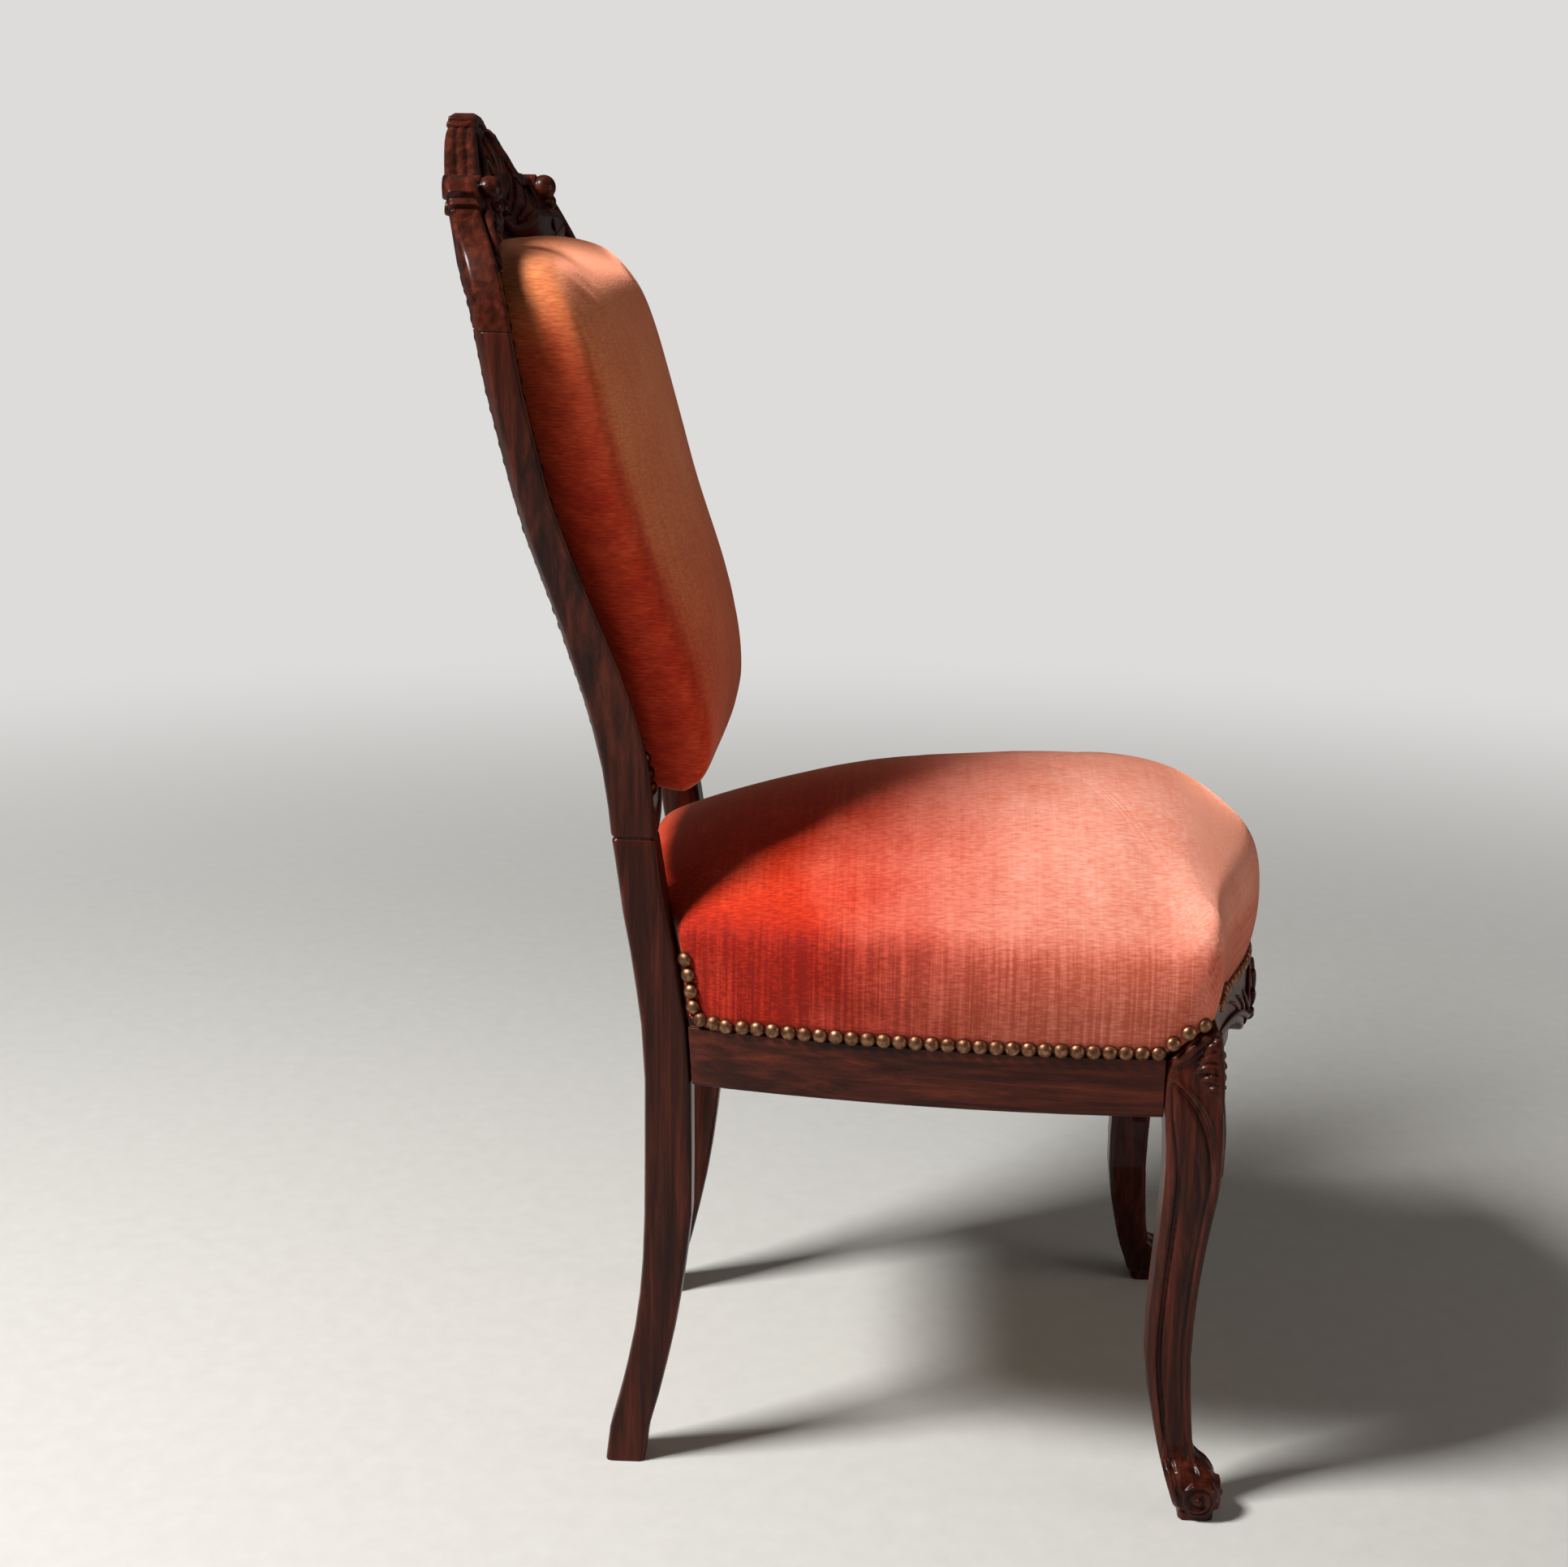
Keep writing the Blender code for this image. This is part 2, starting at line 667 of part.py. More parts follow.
def make_rear_leg(side, name):
    heights = [0.0, 0.09, 0.18, 0.27, 0.36, 0.45, 0.54, 0.66, 0.8, 1.0]
    stations = [(rail_underside_height * share, 0.0) for share in heights]
    groove_half = edge_radius / 2
    for rise in (rail_edge_round, rail_height - nail_band_height, rail_height):
        stations.append((rail_underside_height + rise, 0.0))
    for share in (0.25, 0.5, 0.75, 0.92):
        stations.append((blend(rail_top, waist_height, share), 0.0))
    stations += [(waist_height - groove_half, 0.0), (waist_height, waist_groove)]
    stations.append((waist_height + groove_half, 0.0))
    top = crest_joint_height - joint_gap / 2
    for share in (0.06, 0.14, 0.21, 0.28, 0.36, 0.44, 0.52, 0.6, 0.69, 0.78, 0.89, 1.0):
        stations.append((blend(waist_height, top, share), 0.0))
    rings = []
    for z, pinch in stations:
        relief = ease((z - waist_height - edge_radius) / (lower_rail_height * 0.3))
        inner, outer = (stile_inner(z), z), (stile_outer(z), z)
        rings.append(frame_ring(inner, outer, side_depth(z), relief, side, pinch))
    leg = loft(name, rings, "rosewood")
    mortise(leg, *mirrored(*side_tenon_rear(), side))
    mortise(leg, *mirrored(*rear_tenon(), side))
    mortise(leg, *mirrored(*back_tenon(), side))
    drill_dowel(leg, side)
    return leg


# Dowels between stile and crest
def dowel_ends(side):
    x = side * (back_half - frame_width / 2)
    middle = on_back(x, crest_joint_height, stile_depth / 2)
    half = Vector((0, 0, dowel_length / 2))
    return middle - half, middle + half


def drill_dowel(target, side):
    low, high = dowel_ends(side)
    reach = Vector((0, 0, joint_gap))
    bore = add_rod("bore", low - reach, high + reach, dowel_radius + joint_gap, 12)
    combine(target, bore, "DIFFERENCE")


# Crest rail with shoulders, knobs and cartouche
def crest_row(row):
    outer_x, outer_z, inner_x, inner_z = row
    inner = (back_half * inner_x, crest_joint_height + crest_rise * inner_z)
    outer = (back_half * outer_x, crest_joint_height + crest_rise * outer_z)
    return inner, outer


def crest_depth(x):
    return stile_depth * smooth(crest_depth_shares, abs(x) / back_half)


def make_crest():
    rings = []
    lift = joint_gap / 2
    for side in (1, -1):
        rows = crest_shares if side > 0 else crest_shares[-2::-1]
        for row in rows:
            inner, outer = crest_row(row)
            if row is crest_shares[0]:
                inner, outer = (stile_inner(inner[1]), inner[1] + lift), (outer[0], outer[1] + lift)
            depth = crest_depth(outer[0])
            swell = crest_swell * smooth(crest_swell_shares, row[1])
            ring = frame_ring(inner, outer, depth, 1.0, side, ledge_from=stile_depth, swell=swell)
            rings.append(ring)
    crest = loft("crest_rail", rings, "rosewood")
    for side in (1, -1):
        drill_dowel(crest, side)
        add_knob(crest, side)
    add_cartouche(crest)
    return crest


def add_knob(crest, side):
    x, z = side * knob_half_spread, overall_height - knob_drop
    depth = crest_depth(x)
    rear = on_back(x, z, -joint_gap)
    front = on_back(x, z, depth + knob_proud)
    eye = on_back(x, z, depth + eye_proud)
    combine(crest, add_rod("knob", rear, front, knob_radius, 20), "UNION")
    combine(crest, add_rod("eye", rear, eye, eye_radius, 16), "UNION")


def add_cartouche(crest):
    z = overall_height - cartouche_drop
    middle = on_back(0, z, crest_depth(0) - cartouche_proud / 2)
    bm = bmesh.new()
    bmesh.ops.create_uvsphere(bm, u_segments=20, v_segments=10, radius=1.0)
    lean = rear_line(z + cartouche_half_height) - rear_line(z - cartouche_half_height)
    for vert in bm.verts:
        x, y, rise = vert.co
        forward = y * (cartouche_proud * 1.5)
        tilt = lean * rise / 2
        vert.co = middle + Vector((x * cartouche_half_width, forward + tilt, rise * cartouche_half_height))
    combine(crest, add_object("cartouche", bm, None), "UNION")


# Lower back rail: an arch between two lobes
def lower_rail_bottom(x):
    reach = stile_inner(waist_height)
    return waist_height - edge_radius + lower_rail_arch * (0.5 + 0.5 * math.cos(math.pi * x / reach))


def make_lower_back_rail():
    rings = []
    z = waist_height + lower_rail_height / 2
    count = 16
    for i in range(count + 1):
        share = 1 - 2 * i / count
        x = share * (stile_inner(z) - joint_gap)
        low = lower_rail_bottom(x)
        high = low + lower_rail_height
        end = i in (0, count)
        depth = side_depth(high) - waist_groove
        ring = []
        for across, forward in frame_section(high - low, depth, 1.0, depth):
            height = high - across
            spot = x
            if end:
                spot = math.copysign(stile_inner(height) - joint_gap, x)
            ring.append(on_back(spot, height, forward))
        rings.append(ring)
    rail = loft("lower_back_rail", rings, "rosewood")
    for side in (1, -1):
        tenon(rail, *mirrored(*back_tenon(), side))
    return rail


# Seat rails: distances in from the outer face and up from the underside
def rail_section(band, lift):
    near = rail_edge_round * 0.3
    side_band = nail_height - rail_underside_height
    points = [(near, lift + near), (rail_edge_round, lift)]
    if lift:
        points += [(apron_depth, lift), (apron_depth, 0)]
    points += [
        (rail_width, 0), (rail_width, side_band), (rail_width, rail_height),
        (rail_rebate, rail_height), (rail_rebate, band), (0, band), (0, lift + rail_edge_round),
    ]
    return points


def rail_ring(x, y, inward, band, lift=0, end=None):
    points = []
    for across, rise in rail_section(band, lift):
        spot = Vector((x, y)) + inward * across
        z = rail_underside_height + rise
        if end:
            spot = end(spot, z)
        points.append((spot.x, datum_y + spot.y, z))
    return points


def make_side_rail(side, name):
    start = leg_back_face() + joint_gap
    finish_y = post_front(rail_top)
    rings = []
    count = 10
    for i in range(count + 1):
        y = blend(start, finish_y, i / count)
        reach = cut_overrun / 2
        slope = (side_face(y + reach) - side_face(y - reach)) / (2 * reach)
        inward = Vector((-1, slope)).normalized()
        end = None
        if i == 0:
            end = lambda spot, z: Vector((spot.x, start))
        if i == count:
            end = lambda spot, z: Vector((spot.x, post_front(z) - panel_gap * 0.8))
        ring = rail_ring(side_face(y), y, inward, nail_height - rail_underside_height, end=end)
        rings.append([(side * px, py, pz) for px, py, pz in ring])
    rail = loft(name, rings, "rosewood")
    tenon(rail, *mirrored(*side_tenon_front(), side))
    tenon(rail, *mirrored(*side_tenon_rear(), side))
    return rail


def apron_at(x):
    return apron_lift * smooth(apron_shares, abs(x) / leg_inner_face())


def make_front_rail():
    reach = leg_inner_face() - joint_gap
    rings = []
    count = 20
    for i in range(count + 1):
        x = blend(-reach, reach, i / count)
        step = cut_overrun / 2
        slope = (front_face(x + step) - front_face(x - step)) / (2 * step)
        inward = Vector((-slope, 1)).normalized()
        end = None
        if i in (0, count):
            end = lambda spot, z, x=x: Vector((x, spot.y))
        band = nail_height + knee_rise - rail_underside_height
        rings.append(rail_ring(x, front_face(x), inward, band, apron_at(x), end))
    rail = loft("front_rail", rings, "rosewood")
    for side in (1, -1):
        tenon(rail, *mirrored(*front_tenon(), side))
    add_rail_shell(rail)
    return rail


def add_rail_shell(rail):
    low = rail_underside_height + apron_at(0)
    z = (low + nail_height + knee_rise) / 2
    half_height = (nail_height + knee_rise - low) / 2
    bm = bmesh.new()
    bmesh.ops.create_uvsphere(bm, u_segments=20, v_segments=10, radius=1.0)
    for vert in bm.verts:
        x, y, rise = vert.co
        middle = datum_y + front_face(0)
        vert.co = Vector((x * shell_half_width, middle + y * shell_proud, z + rise * half_height))
    combine(rail, add_object("shell", bm, None), "UNION")


def make_rear_rail():
    reach = stile_inner(rail_underside_height) - joint_gap
    front = rear_rail_middle() - rail_width / 2
    low = (-reach, datum_y + front, rail_underside_height)
    high = (reach, datum_y + front + rail_width, rail_top)
    rail = add_box("rear_rail", low, high, "beech")
    for side in (1, -1):
        tenon(rail, *mirrored(*rear_tenon(), side))
    return rail


# Glue blocks in the corners of the seat frame
def prism(name, plan, low, high, finish):
    rings = [[(x, datum_y + y, z) for x, y in plan] for z in (low, high)]
    return loft(name, rings, finish)


def rail_inside(y):
    return side_face(y) - rail_width * side_slant_share - joint_gap


def front_inside(x):
    return front_face(x) + rail_width * front_slant_share + joint_gap


def make_front_block(side, name):
    back = leg_back_face() + joint_gap
    inner = leg_inner_face() - joint_gap
    far = back + block_run
    near = inner - block_run
    plan = [
        (rail_inside(far), far), (rail_inside(blend(back, far, 0.5)), blend(back, far, 0.5)),
        (rail_inside(back), back), (inner, back), (inner, front_inside(inner)),
        (blend(inner, near, 0.5), front_inside(blend(inner, near, 0.5)) + joint_gap),
        (near, front_inside(near) + joint_gap),
    ]
    plan = [(side * x, y) for x, y in plan]
    low = rail_underside_height + (rail_height - block_height) / 2
    return prism(name, plan, low, low + block_height, "beech")


def make_rear_block(side, name):
    back = post_front(rail_underside_height) - 2 * joint_gap
    inner = stile_inner(rail_underside_height) - joint_gap
    rail_front = rear_rail_middle() - rail_width / 2 - joint_gap
    far = back - block_run
    plan = [(rail_inside(far), far), (rail_inside(back), back), (inner, back)]
    if rail_front > back:
        plan.append((inner, rail_front))
    plan.append((inner - block_run, rail_front))
    plan = [(side * x, y) for x, y in plan]
    low = rail_underside_height + (rail_height - block_height) / 2
    return prism(name, plan, low, low + block_height, "beech")


# Webbing: straps woven over and under each other, tacked under the rails
def strap_places():
    return [(i - (strap_count - 1) / 2) * strap_pitch for i in range(strap_count)]


def strap_swing():
    return (strap_thickness + joint_gap) / 2


def strap_wave(distance, places, phase):
    level = 0.0
    for i, place in enumerate(places):
        sign = 1 if (i + phase) % 2 else -1
        gap = (abs(distance - place) - strap_width / 2) / (strap_pitch - strap_width)
        level += sign * ease(1 - 2 * gap if gap > 0 else 1.0)
    return level


def make_strap(name, start, end, across, phase, lengthwise):
    level = rail_underside_height - joint_gap - strap_thickness / 2
    places = strap_places()
    middle = 0.0
    if lengthwise:
        middle = strap_middle
    marks = {start, end, start + strap_land, end - strap_land}
    for place in places:
        for edge in (-0.5, 0.5):
            mark = middle + place + edge * strap_width
            marks.add(mark)
            marks.add(mark + edge * (strap_pitch - strap_width))
    rings = []
    for mark in sorted(marks):
        z = level + strap_swing() * strap_wave(mark - middle, places, phase)
        half, thick = strap_width / 2, strap_thickness / 2
        corners = [(-half, -thick), (half, -thick), (half, thick), (-half, thick)]
        ring = []
        for side, rise in corners:
            x, y = (across + side, mark) if lengthwise else (mark, across + side)
            ring.append((x, datum_y + y, z + rise))
        rings.append(ring)
    return loft(name, rings, "jute")


def make_webbing():
    land = rail_width - strap_land
    for i, place in enumerate(strap_places()):
        start = front_face(abs(place) + strap_width / 2) + land
        end = rear_rail_middle() + rail_width / 2 - land
        make_strap(f"webbing_long_{i + 1}", start, end, place, i, True)
    for i, place in enumerate(strap_places()):
        y = strap_middle + place
        reach = min(side_face(y - strap_width / 2), side_face(y + strap_width / 2)) - land
        make_strap(f"webbing_cross_{i + 1}", -reach, reach, y, i + 1, False)


# Hourglass springs, each one unbroken wire: its foot stands where two straps cross
def spring_points(x, y, heading):
    foot = rail_underside_height + strap_swing() + spring_wire_radius
    head = rail_underside_height + spring_height - hessian_thickness
    rise = head - joint_gap - spring_wire_radius - foot
    points = []
    total = int(spring_curls * spring_curl_points)
    for i in range(total + 1):
        share = i / total
        angle = heading + 2 * math.pi * i / spring_curl_points
        flat = 0.5 - 0.5 * math.cos(math.pi * share)
        lift = blend(share, flat, 0.45)
        pull = math.sin(math.pi * share) ** 1.5
        radius = blend(spring_end_radius, spring_waist_radius, pull)
        points.append((x + radius * math.cos(angle), y + radius * math.sin(angle), foot + rise * lift))
    return points


def least_gap(points):
    spots = np.array(points)
    least = math.inf
    for i in range(len(spots)):
        far = spots[i + spring_curl_points // 2:]
        if len(far):
            least = min(least, float(np.linalg.norm(far - spots[i], axis=1).min()))
    return least - 2 * spring_wire_radius


def make_spring(name, x, y, heading):
    points = spring_points(x, datum_y + y, heading)
    print(name, "least gap between curls, mm:", round(least_gap(points) * 1000, 2))
    line = bpy.data.curves.new(name, "CURVE")
    line.dimensions = "3D"
    line.bevel_depth = spring_wire_radius
    line.bevel_resolution = 1
    line.use_fill_caps = True
    spline = line.splines.new("POLY")
    spline.points.add(len(points) - 1)
    for i, point in enumerate(points):
        spline.points[i].co = (*point, 1.0)
    obj = bpy.data.objects.new(name, line)
    bpy.context.scene.collection.objects.link(obj)
    line.materials.append(materials["spring_steel"])
    return obj


def make_springs():
    places = [(-1, -1), (1, -1), (-1, 1), (1, 1), (0, 0)]
    for i, (across, along) in enumerate(places):
        x = across * spring_half_pitch
        y = strap_middle + along * spring_half_pitch
        heading = math.atan2(along or 1, across or 1)
        make_spring(f"seat_spring_{i + 1}", x, y, heading)


# Plan outline of the seat pad: front bow, round corners, bowed sides, notches at the posts.
# Each place ends with the rise of the cover's edge there.
def seat_outline(depth_in):
    inset = cloth_thickness / 2 + depth_in
    corner_x = side_rail_front_half - seat_corner_round
    corner_y = -front_set + seat_corner_round
    half = []
    for share in (0.0, 0.2, 0.38, 0.56, 0.74, 0.89):
        half.append((corner_x * share, front_face(corner_x * share) + inset, knee_rise))
    for share in (0.0, 0.33, 0.67, 1.0):
        angle = math.pi / 2 * share
        radius = seat_corner_round - inset
        x = corner_x + radius * math.sin(angle)
        y = corner_y - radius * math.cos(angle)
        half.append((x, y, knee_lift(-y)))
    end = post_front(nail_height) - panel_gap - depth_in
    for share in (0.03, 0.06, 0.18, 0.33, 0.48, 0.63, 0.79, 0.92, 1.0):
        y = blend(corner_y, end, share)
        half.append((side_face(y) - inset, y, knee_lift(-y)))
    notch = stile_inner(rail_top) - panel_gap - depth_in
    wood = rear_rail_middle() + rail_width / 2 + panel_gap
    rear = wood + cloth_thickness - depth_in
    step = nail_band_height
    half += [(side_face(end) - rail_rebate - depth_in, end, step), (notch, end, step)]
    half += [(notch, wood - depth_in, step), (notch * 0.97, rear, 0)]
    half += [(notch / 2, rear, 0), (0, rear, 0)]
    other = [(-x, y, lift) for x, y, lift in half[-2:0:-1]]
    return half + other


# Plan outline of the hessian, which lies on the rails' tops inside the posts
def hessian_outline():
    inset = rail_width / 2
    corner_x = side_rail_front_half - seat_corner_round
    half = []
    for share in (0.0, 0.3, 0.6, 0.85):
        half.append((corner_x * share, front_face(corner_x * share) + inset, 0))
    end = post_front(nail_height) - block_run
    for share in (0.03, 0.3, 0.6, 1.0):
        y = end * share
        half.append((side_face(y) - inset, y, 0))
    narrow = stile_inner(rail_top) - inset
    half += [(narrow, end + block_run * 0.8, 0), (narrow, rear_rail_middle(), 0)]
    half += [(narrow / 2, rear_rail_middle(), 0), (0, rear_rail_middle(), 0)]
    other = [(-x, y, lift) for x, y, lift in half[-2:0:-1]]
    return half + other


# How much of the post's lean the seat's rear edge follows
def rear_weight(y):
    start = blend(seat_centre, post_reach, 0.55)
    run = blend(seat_centre, post_reach, 0.4) - seat_centre
    return ease((y - start) / run)


# Level of the seat's top: its middle line, less the fall towards the sides
def seat_top(x, y):
    crown = nail_height + seat_crown_rise
    rear = waist_height - seat_rear_drop
    if y < seat_centre:
        front = front_face(x) + cloth_thickness / 2
        way = (y - front) / (seat_centre - front)
        middle = nail_height + seat_crown_rise * smooth(front_roll_shares, max(way, 0))
    else:
        way = (y - seat_centre) / (rear_rail_middle() + rail_width / 2 - seat_centre)
        middle = blend(crown, rear, smooth(rear_fall_shares, min(way, 1)))
    corner = ease((blend(0, seat_corner_run, 2 / 3) - y) / seat_corner_run)
    edge = nail_height + blend(seat_side_rise, seat_corner_rise, corner)
    share = min(abs(x) / side_face(y), 1) ** seat_dome_power
    return blend(middle, min(edge, middle), share)


# The same less a depth square to the surface
def seat_top_under(x, y, depth):
    step = cut_overrun
    slope_x = (seat_top(x + step, y) - seat_top(x - step, y)) / (2 * step)
    slope_y = (seat_top(x, y + step) - seat_top(x, y - step)) / (2 * step)
    return seat_top(x, y) - depth * math.sqrt(1 + slope_x ** 2 + slope_y ** 2)


def seat_rings(depth_in):
    foot = nail_height + joint_gap
    base = post_front(nail_height)
    rings = [[] for _ in (*seat_wall_shares, *seat_top_shares)]
    for x, y, lift in seat_outline(depth_in):
        out = Vector((x, y - seat_centre)).normalized()
        weight = rear_weight(y)
        top = seat_top_under(x, y, depth_in)
        rows = [(0, swell, blend(foot + lift, top, share)) for swell, share in seat_wall_shares]
        rows += [(way_in, 0, 0) for way_in in seat_top_shares]
        for ring, (way_in, swell, z) in zip(rings, rows):
            push = seat_bulge * swell * (1 - weight)
            px = x * (1 - way_in) + out.x * push
            py = blend(y, seat_centre, way_in) + out.y * push
            if way_in:
                z = seat_top_under(px, py, depth_in)
            lean = max(min(z, waist_height) - nail_height, 0)
            py += weight * (post_front(nail_height + lean) - base) * (1 - way_in)
            ring.append(Vector((px, datum_y + py, z)))
    return rings


def hessian_rings(low, high):
    rings = []
    for way_in, share in seat_hessian_shares:
        ring = []
        for x, y, lift in hessian_outline():
            place = (x * (1 - way_in), datum_y + blend(y, seat_centre, way_in))
            ring.append(Vector((*place, blend(low, high, share))))
        rings.append(ring)
    return rings


def make_seat():
    outer = seat_rings(0)
    top = Vector((0, datum_y + seat_centre, seat_top(0, seat_centre)))
    inner, inner_top = sink(outer, top, cloth_thickness)
    shell("seat_cover", outer, top, inner, inner_top, "velvet")
    shrink = cloth_thickness + 3 * joint_gap
    low = rail_top + joint_gap
    pad = settle(seat_rings(shrink), low)
    pad_top = top - Vector((0, 0, shrink))
    cloth = hessian_rings(low, rail_underside_height + spring_height)
    cloth_top = Vector((0, datum_y + seat_centre, rail_underside_height + spring_height))
    under, under_top = sink(cloth, cloth_top, hessian_thickness)
    under = settle(under, low)
    shell("spring_hessian", cloth, cloth_top, under, under_top, "jute")
    cavity, cavity_top = sink(cloth, cloth_top, -2 * joint_gap)
    cavity = settle(cavity, low)
    shell("seat_stuffing", pad, pad_top, cavity, cavity_top, "horsehair")


# Keeps a skin's edge above the wood that it rests on
def settle(rings, level):
    rings = [[Vector(point) for point in ring] for ring in rings]
    for ring in rings:
        for point in ring:
            point.z = max(point.z, level)
    for point in rings[0]:
        point.z = level
    return rings


# Outline of the opening in the back frame, as places across and up
def opening_outline(outset):
    half = []
    reach = stile_inner(waist_height + lower_rail_height)
    for share in (0.0, 0.25, 0.5, 0.72, 0.9):
        x = reach * share
        half.append((x, lower_rail_bottom(x) + lower_rail_height))
    start = waist_height + lower_rail_height * 1.12
    for share in (0.0, 0.13, 0.27, 0.41, 0.56, 0.71, 0.86, 1.0):
        z = blend(start, crest_joint_height, share)
        half.append((stile_inner(z), z))
    for row in crest_shares[2:-1:3]:
        half.append(crest_row(row)[0])
    half.append(crest_row(crest_shares[-1])[0])
    loop = half + [(-x, z) for x, z in half[-2:0:-1]]
    return shift_loop(loop, outset)


def shift_loop(loop, outset):
    count = len(loop)
    moved = []
    for i, (x, z) in enumerate(loop):
        before, after = Vector(loop[i - 1]), Vector(loop[(i + 1) % count])
        along = (after - before).normalized()
        moved.append((x + along.y * outset, z - along.x * outset))
    return moved


def frame_front(z):
    if z > crest_joint_height:
        return stile_depth
    return side_depth(z)


# Thickness of the back pad over its ledge: its middle line, less the fall to the sides
def back_pad_at(x, z):
    low = waist_height + lower_rail_height / 2
    high = crest_joint_height + crest_rise * crest_shares[-1][3] + tack_ledge
    height = (z - low) / (high - low)
    crown = back_crown * smooth(back_crown_shares, height)
    wall = back_wall * smooth(back_side_shares, height)
    half = stile_inner(min(z, crest_joint_height)) + tack_ledge
    share = min(abs(x) / half, 1) ** back_dome_power
    return blend(crown, wall, share)


# Places on the back over one outline, for rows of shares: the way in, the bulge, and the
# part of the pad's thickness
def back_rings(loop, rows, lift, flat=False):
    rings = []
    for way_in, swell, height in rows:
        ring = []
        for x, z in loop:
            out = Vector((x, z - back_centre_height)).normalized() * back_bulge * swell
            px = x * (1 - way_in) + out.x
            pz = blend(z, back_centre_height, way_in) + out.y
            thick = 0 if flat else back_pad_at(px, pz) * height
            ring.append(on_back(px, pz, frame_front(pz) - tack_ledge_depth + lift + thick))
        rings.append(ring)
    return rings


def make_back():
    ledge_edge = tack_ledge - 2 * panel_gap
    loop = opening_outline(ledge_edge)
    middle_z = back_centre_height
    lift = joint_gap * 3
    front = frame_front(middle_z) - tack_ledge_depth + lift
    rows = [(0, swell, share) for swell, share in back_wall_shares]
    rows += [(way_in, 0, 1) for way_in in back_top_shares]
    outer = back_rings(loop, rows, lift)
    top = on_back(0, middle_z, front + back_pad_at(0, middle_z))
    inner, inner_top = sink(outer, top, cloth_thickness)
    inner[0] = seat_edge(inner[0], outer[0])
    shell("back_cover", outer, top, inner, inner_top, "velvet")
    base = front + hessian_thickness + joint_gap
    pad, pad_top = sink(outer, top, cloth_thickness + 2 * joint_gap)
    pad_loop = opening_outline(ledge_edge - cloth_thickness * 2)
    flat = [(share, 0, 0) for share in sheet_shares]
    floor_lift = lift + hessian_thickness + joint_gap
    floor = back_rings(pad_loop, flat, floor_lift, True)
    floor_middle = on_back(0, middle_z, base)
    edge = back_rings(pad_loop, flat[:1], floor_lift + cloth_thickness, True)
    shell("back_stuffing", [*edge, *pad[1:]], pad_top, floor, floor_middle, "horsehair")
    make_sheet("back_hessian", ledge_edge - cloth_thickness * 2, lift, hessian_thickness, "jute")
    make_outside_cover()


# An edge ring level with the one that it lines
def seat_edge(ring, level):
    middle = sum(level, Vector()) / len(level)
    moved = []
    for point, mate in zip(ring, level):
        inward = (middle - mate)
        inward.y = 0
        step = (Vector(point) - mate).length
        moved.append(mate + inward.normalized() * step)
    return moved


def make_sheet(name, outset, lift, thickness, finish):
    loop = opening_outline(outset)
    rows = [(share, 0, 0) for share in sheet_shares]
    low = back_rings(loop, rows, lift, True)
    high = back_rings(loop, rows, lift + thickness, True)
    front = frame_front(back_centre_height) - tack_ledge_depth + lift
    low_middle = on_back(0, back_centre_height, front)
    high_middle = on_back(0, back_centre_height, front + thickness)
    return shell(name, high, high_middle, low, low_middle, finish)


def make_outside_cover():
    loop = opening_outline(-panel_gap)
    skins = []
    for forward in (outer_cover_inset, outer_cover_inset + cloth_thickness):
        rings = []
        for share in sheet_shares:
            ring = []
            for x, z in loop:
                height = blend(z, back_centre_height, share)
                ring.append(on_back(x * (1 - share), height, forward))
            rings.append(ring)
        skins.append((rings, on_back(0, back_centre_height, forward)))
    shell("outside_back_cover", *skins[0], *skins[1], "velvet")


for old in list(bpy.data.objects):
    bpy.data.objects.remove(old)
materials = {name: make_finish(name) for name in finishes}

for side, hand in ((1, "left"), (-1, "right")):
    make_front_leg(side, f"front_leg_{hand}")
    make_rear_leg(side, f"rear_leg_{hand}")
    make_side_rail(side, f"side_rail_{hand}")
    low, high = dowel_ends(side)
    add_rod(f"crest_dowel_{hand}", low, high, dowel_radius, 12, "beech")
make_crest()
make_lower_back_rail()
make_front_rail()
make_rear_rail()
make_front_block(1, "corner_block_1")
make_front_block(-1, "corner_block_2")
make_rear_block(1, "corner_block_3")
make_rear_block(-1, "corner_block_4")
make_webbing()
make_springs()
make_seat()
make_back()
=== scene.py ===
# Louis XV style side chair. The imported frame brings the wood, the blocks and the joints;
# this script gives them their polish and makes the velvet, the nails and the carving.
# Metres, +Z up. The chair faces -Y and its own right side is at -X.

import json
import math

import bpy
import numpy as np
from mathutils import Matrix, Vector
from mathutils.bvhtree import BVHTree
from mathutils.kdtree import KDTree

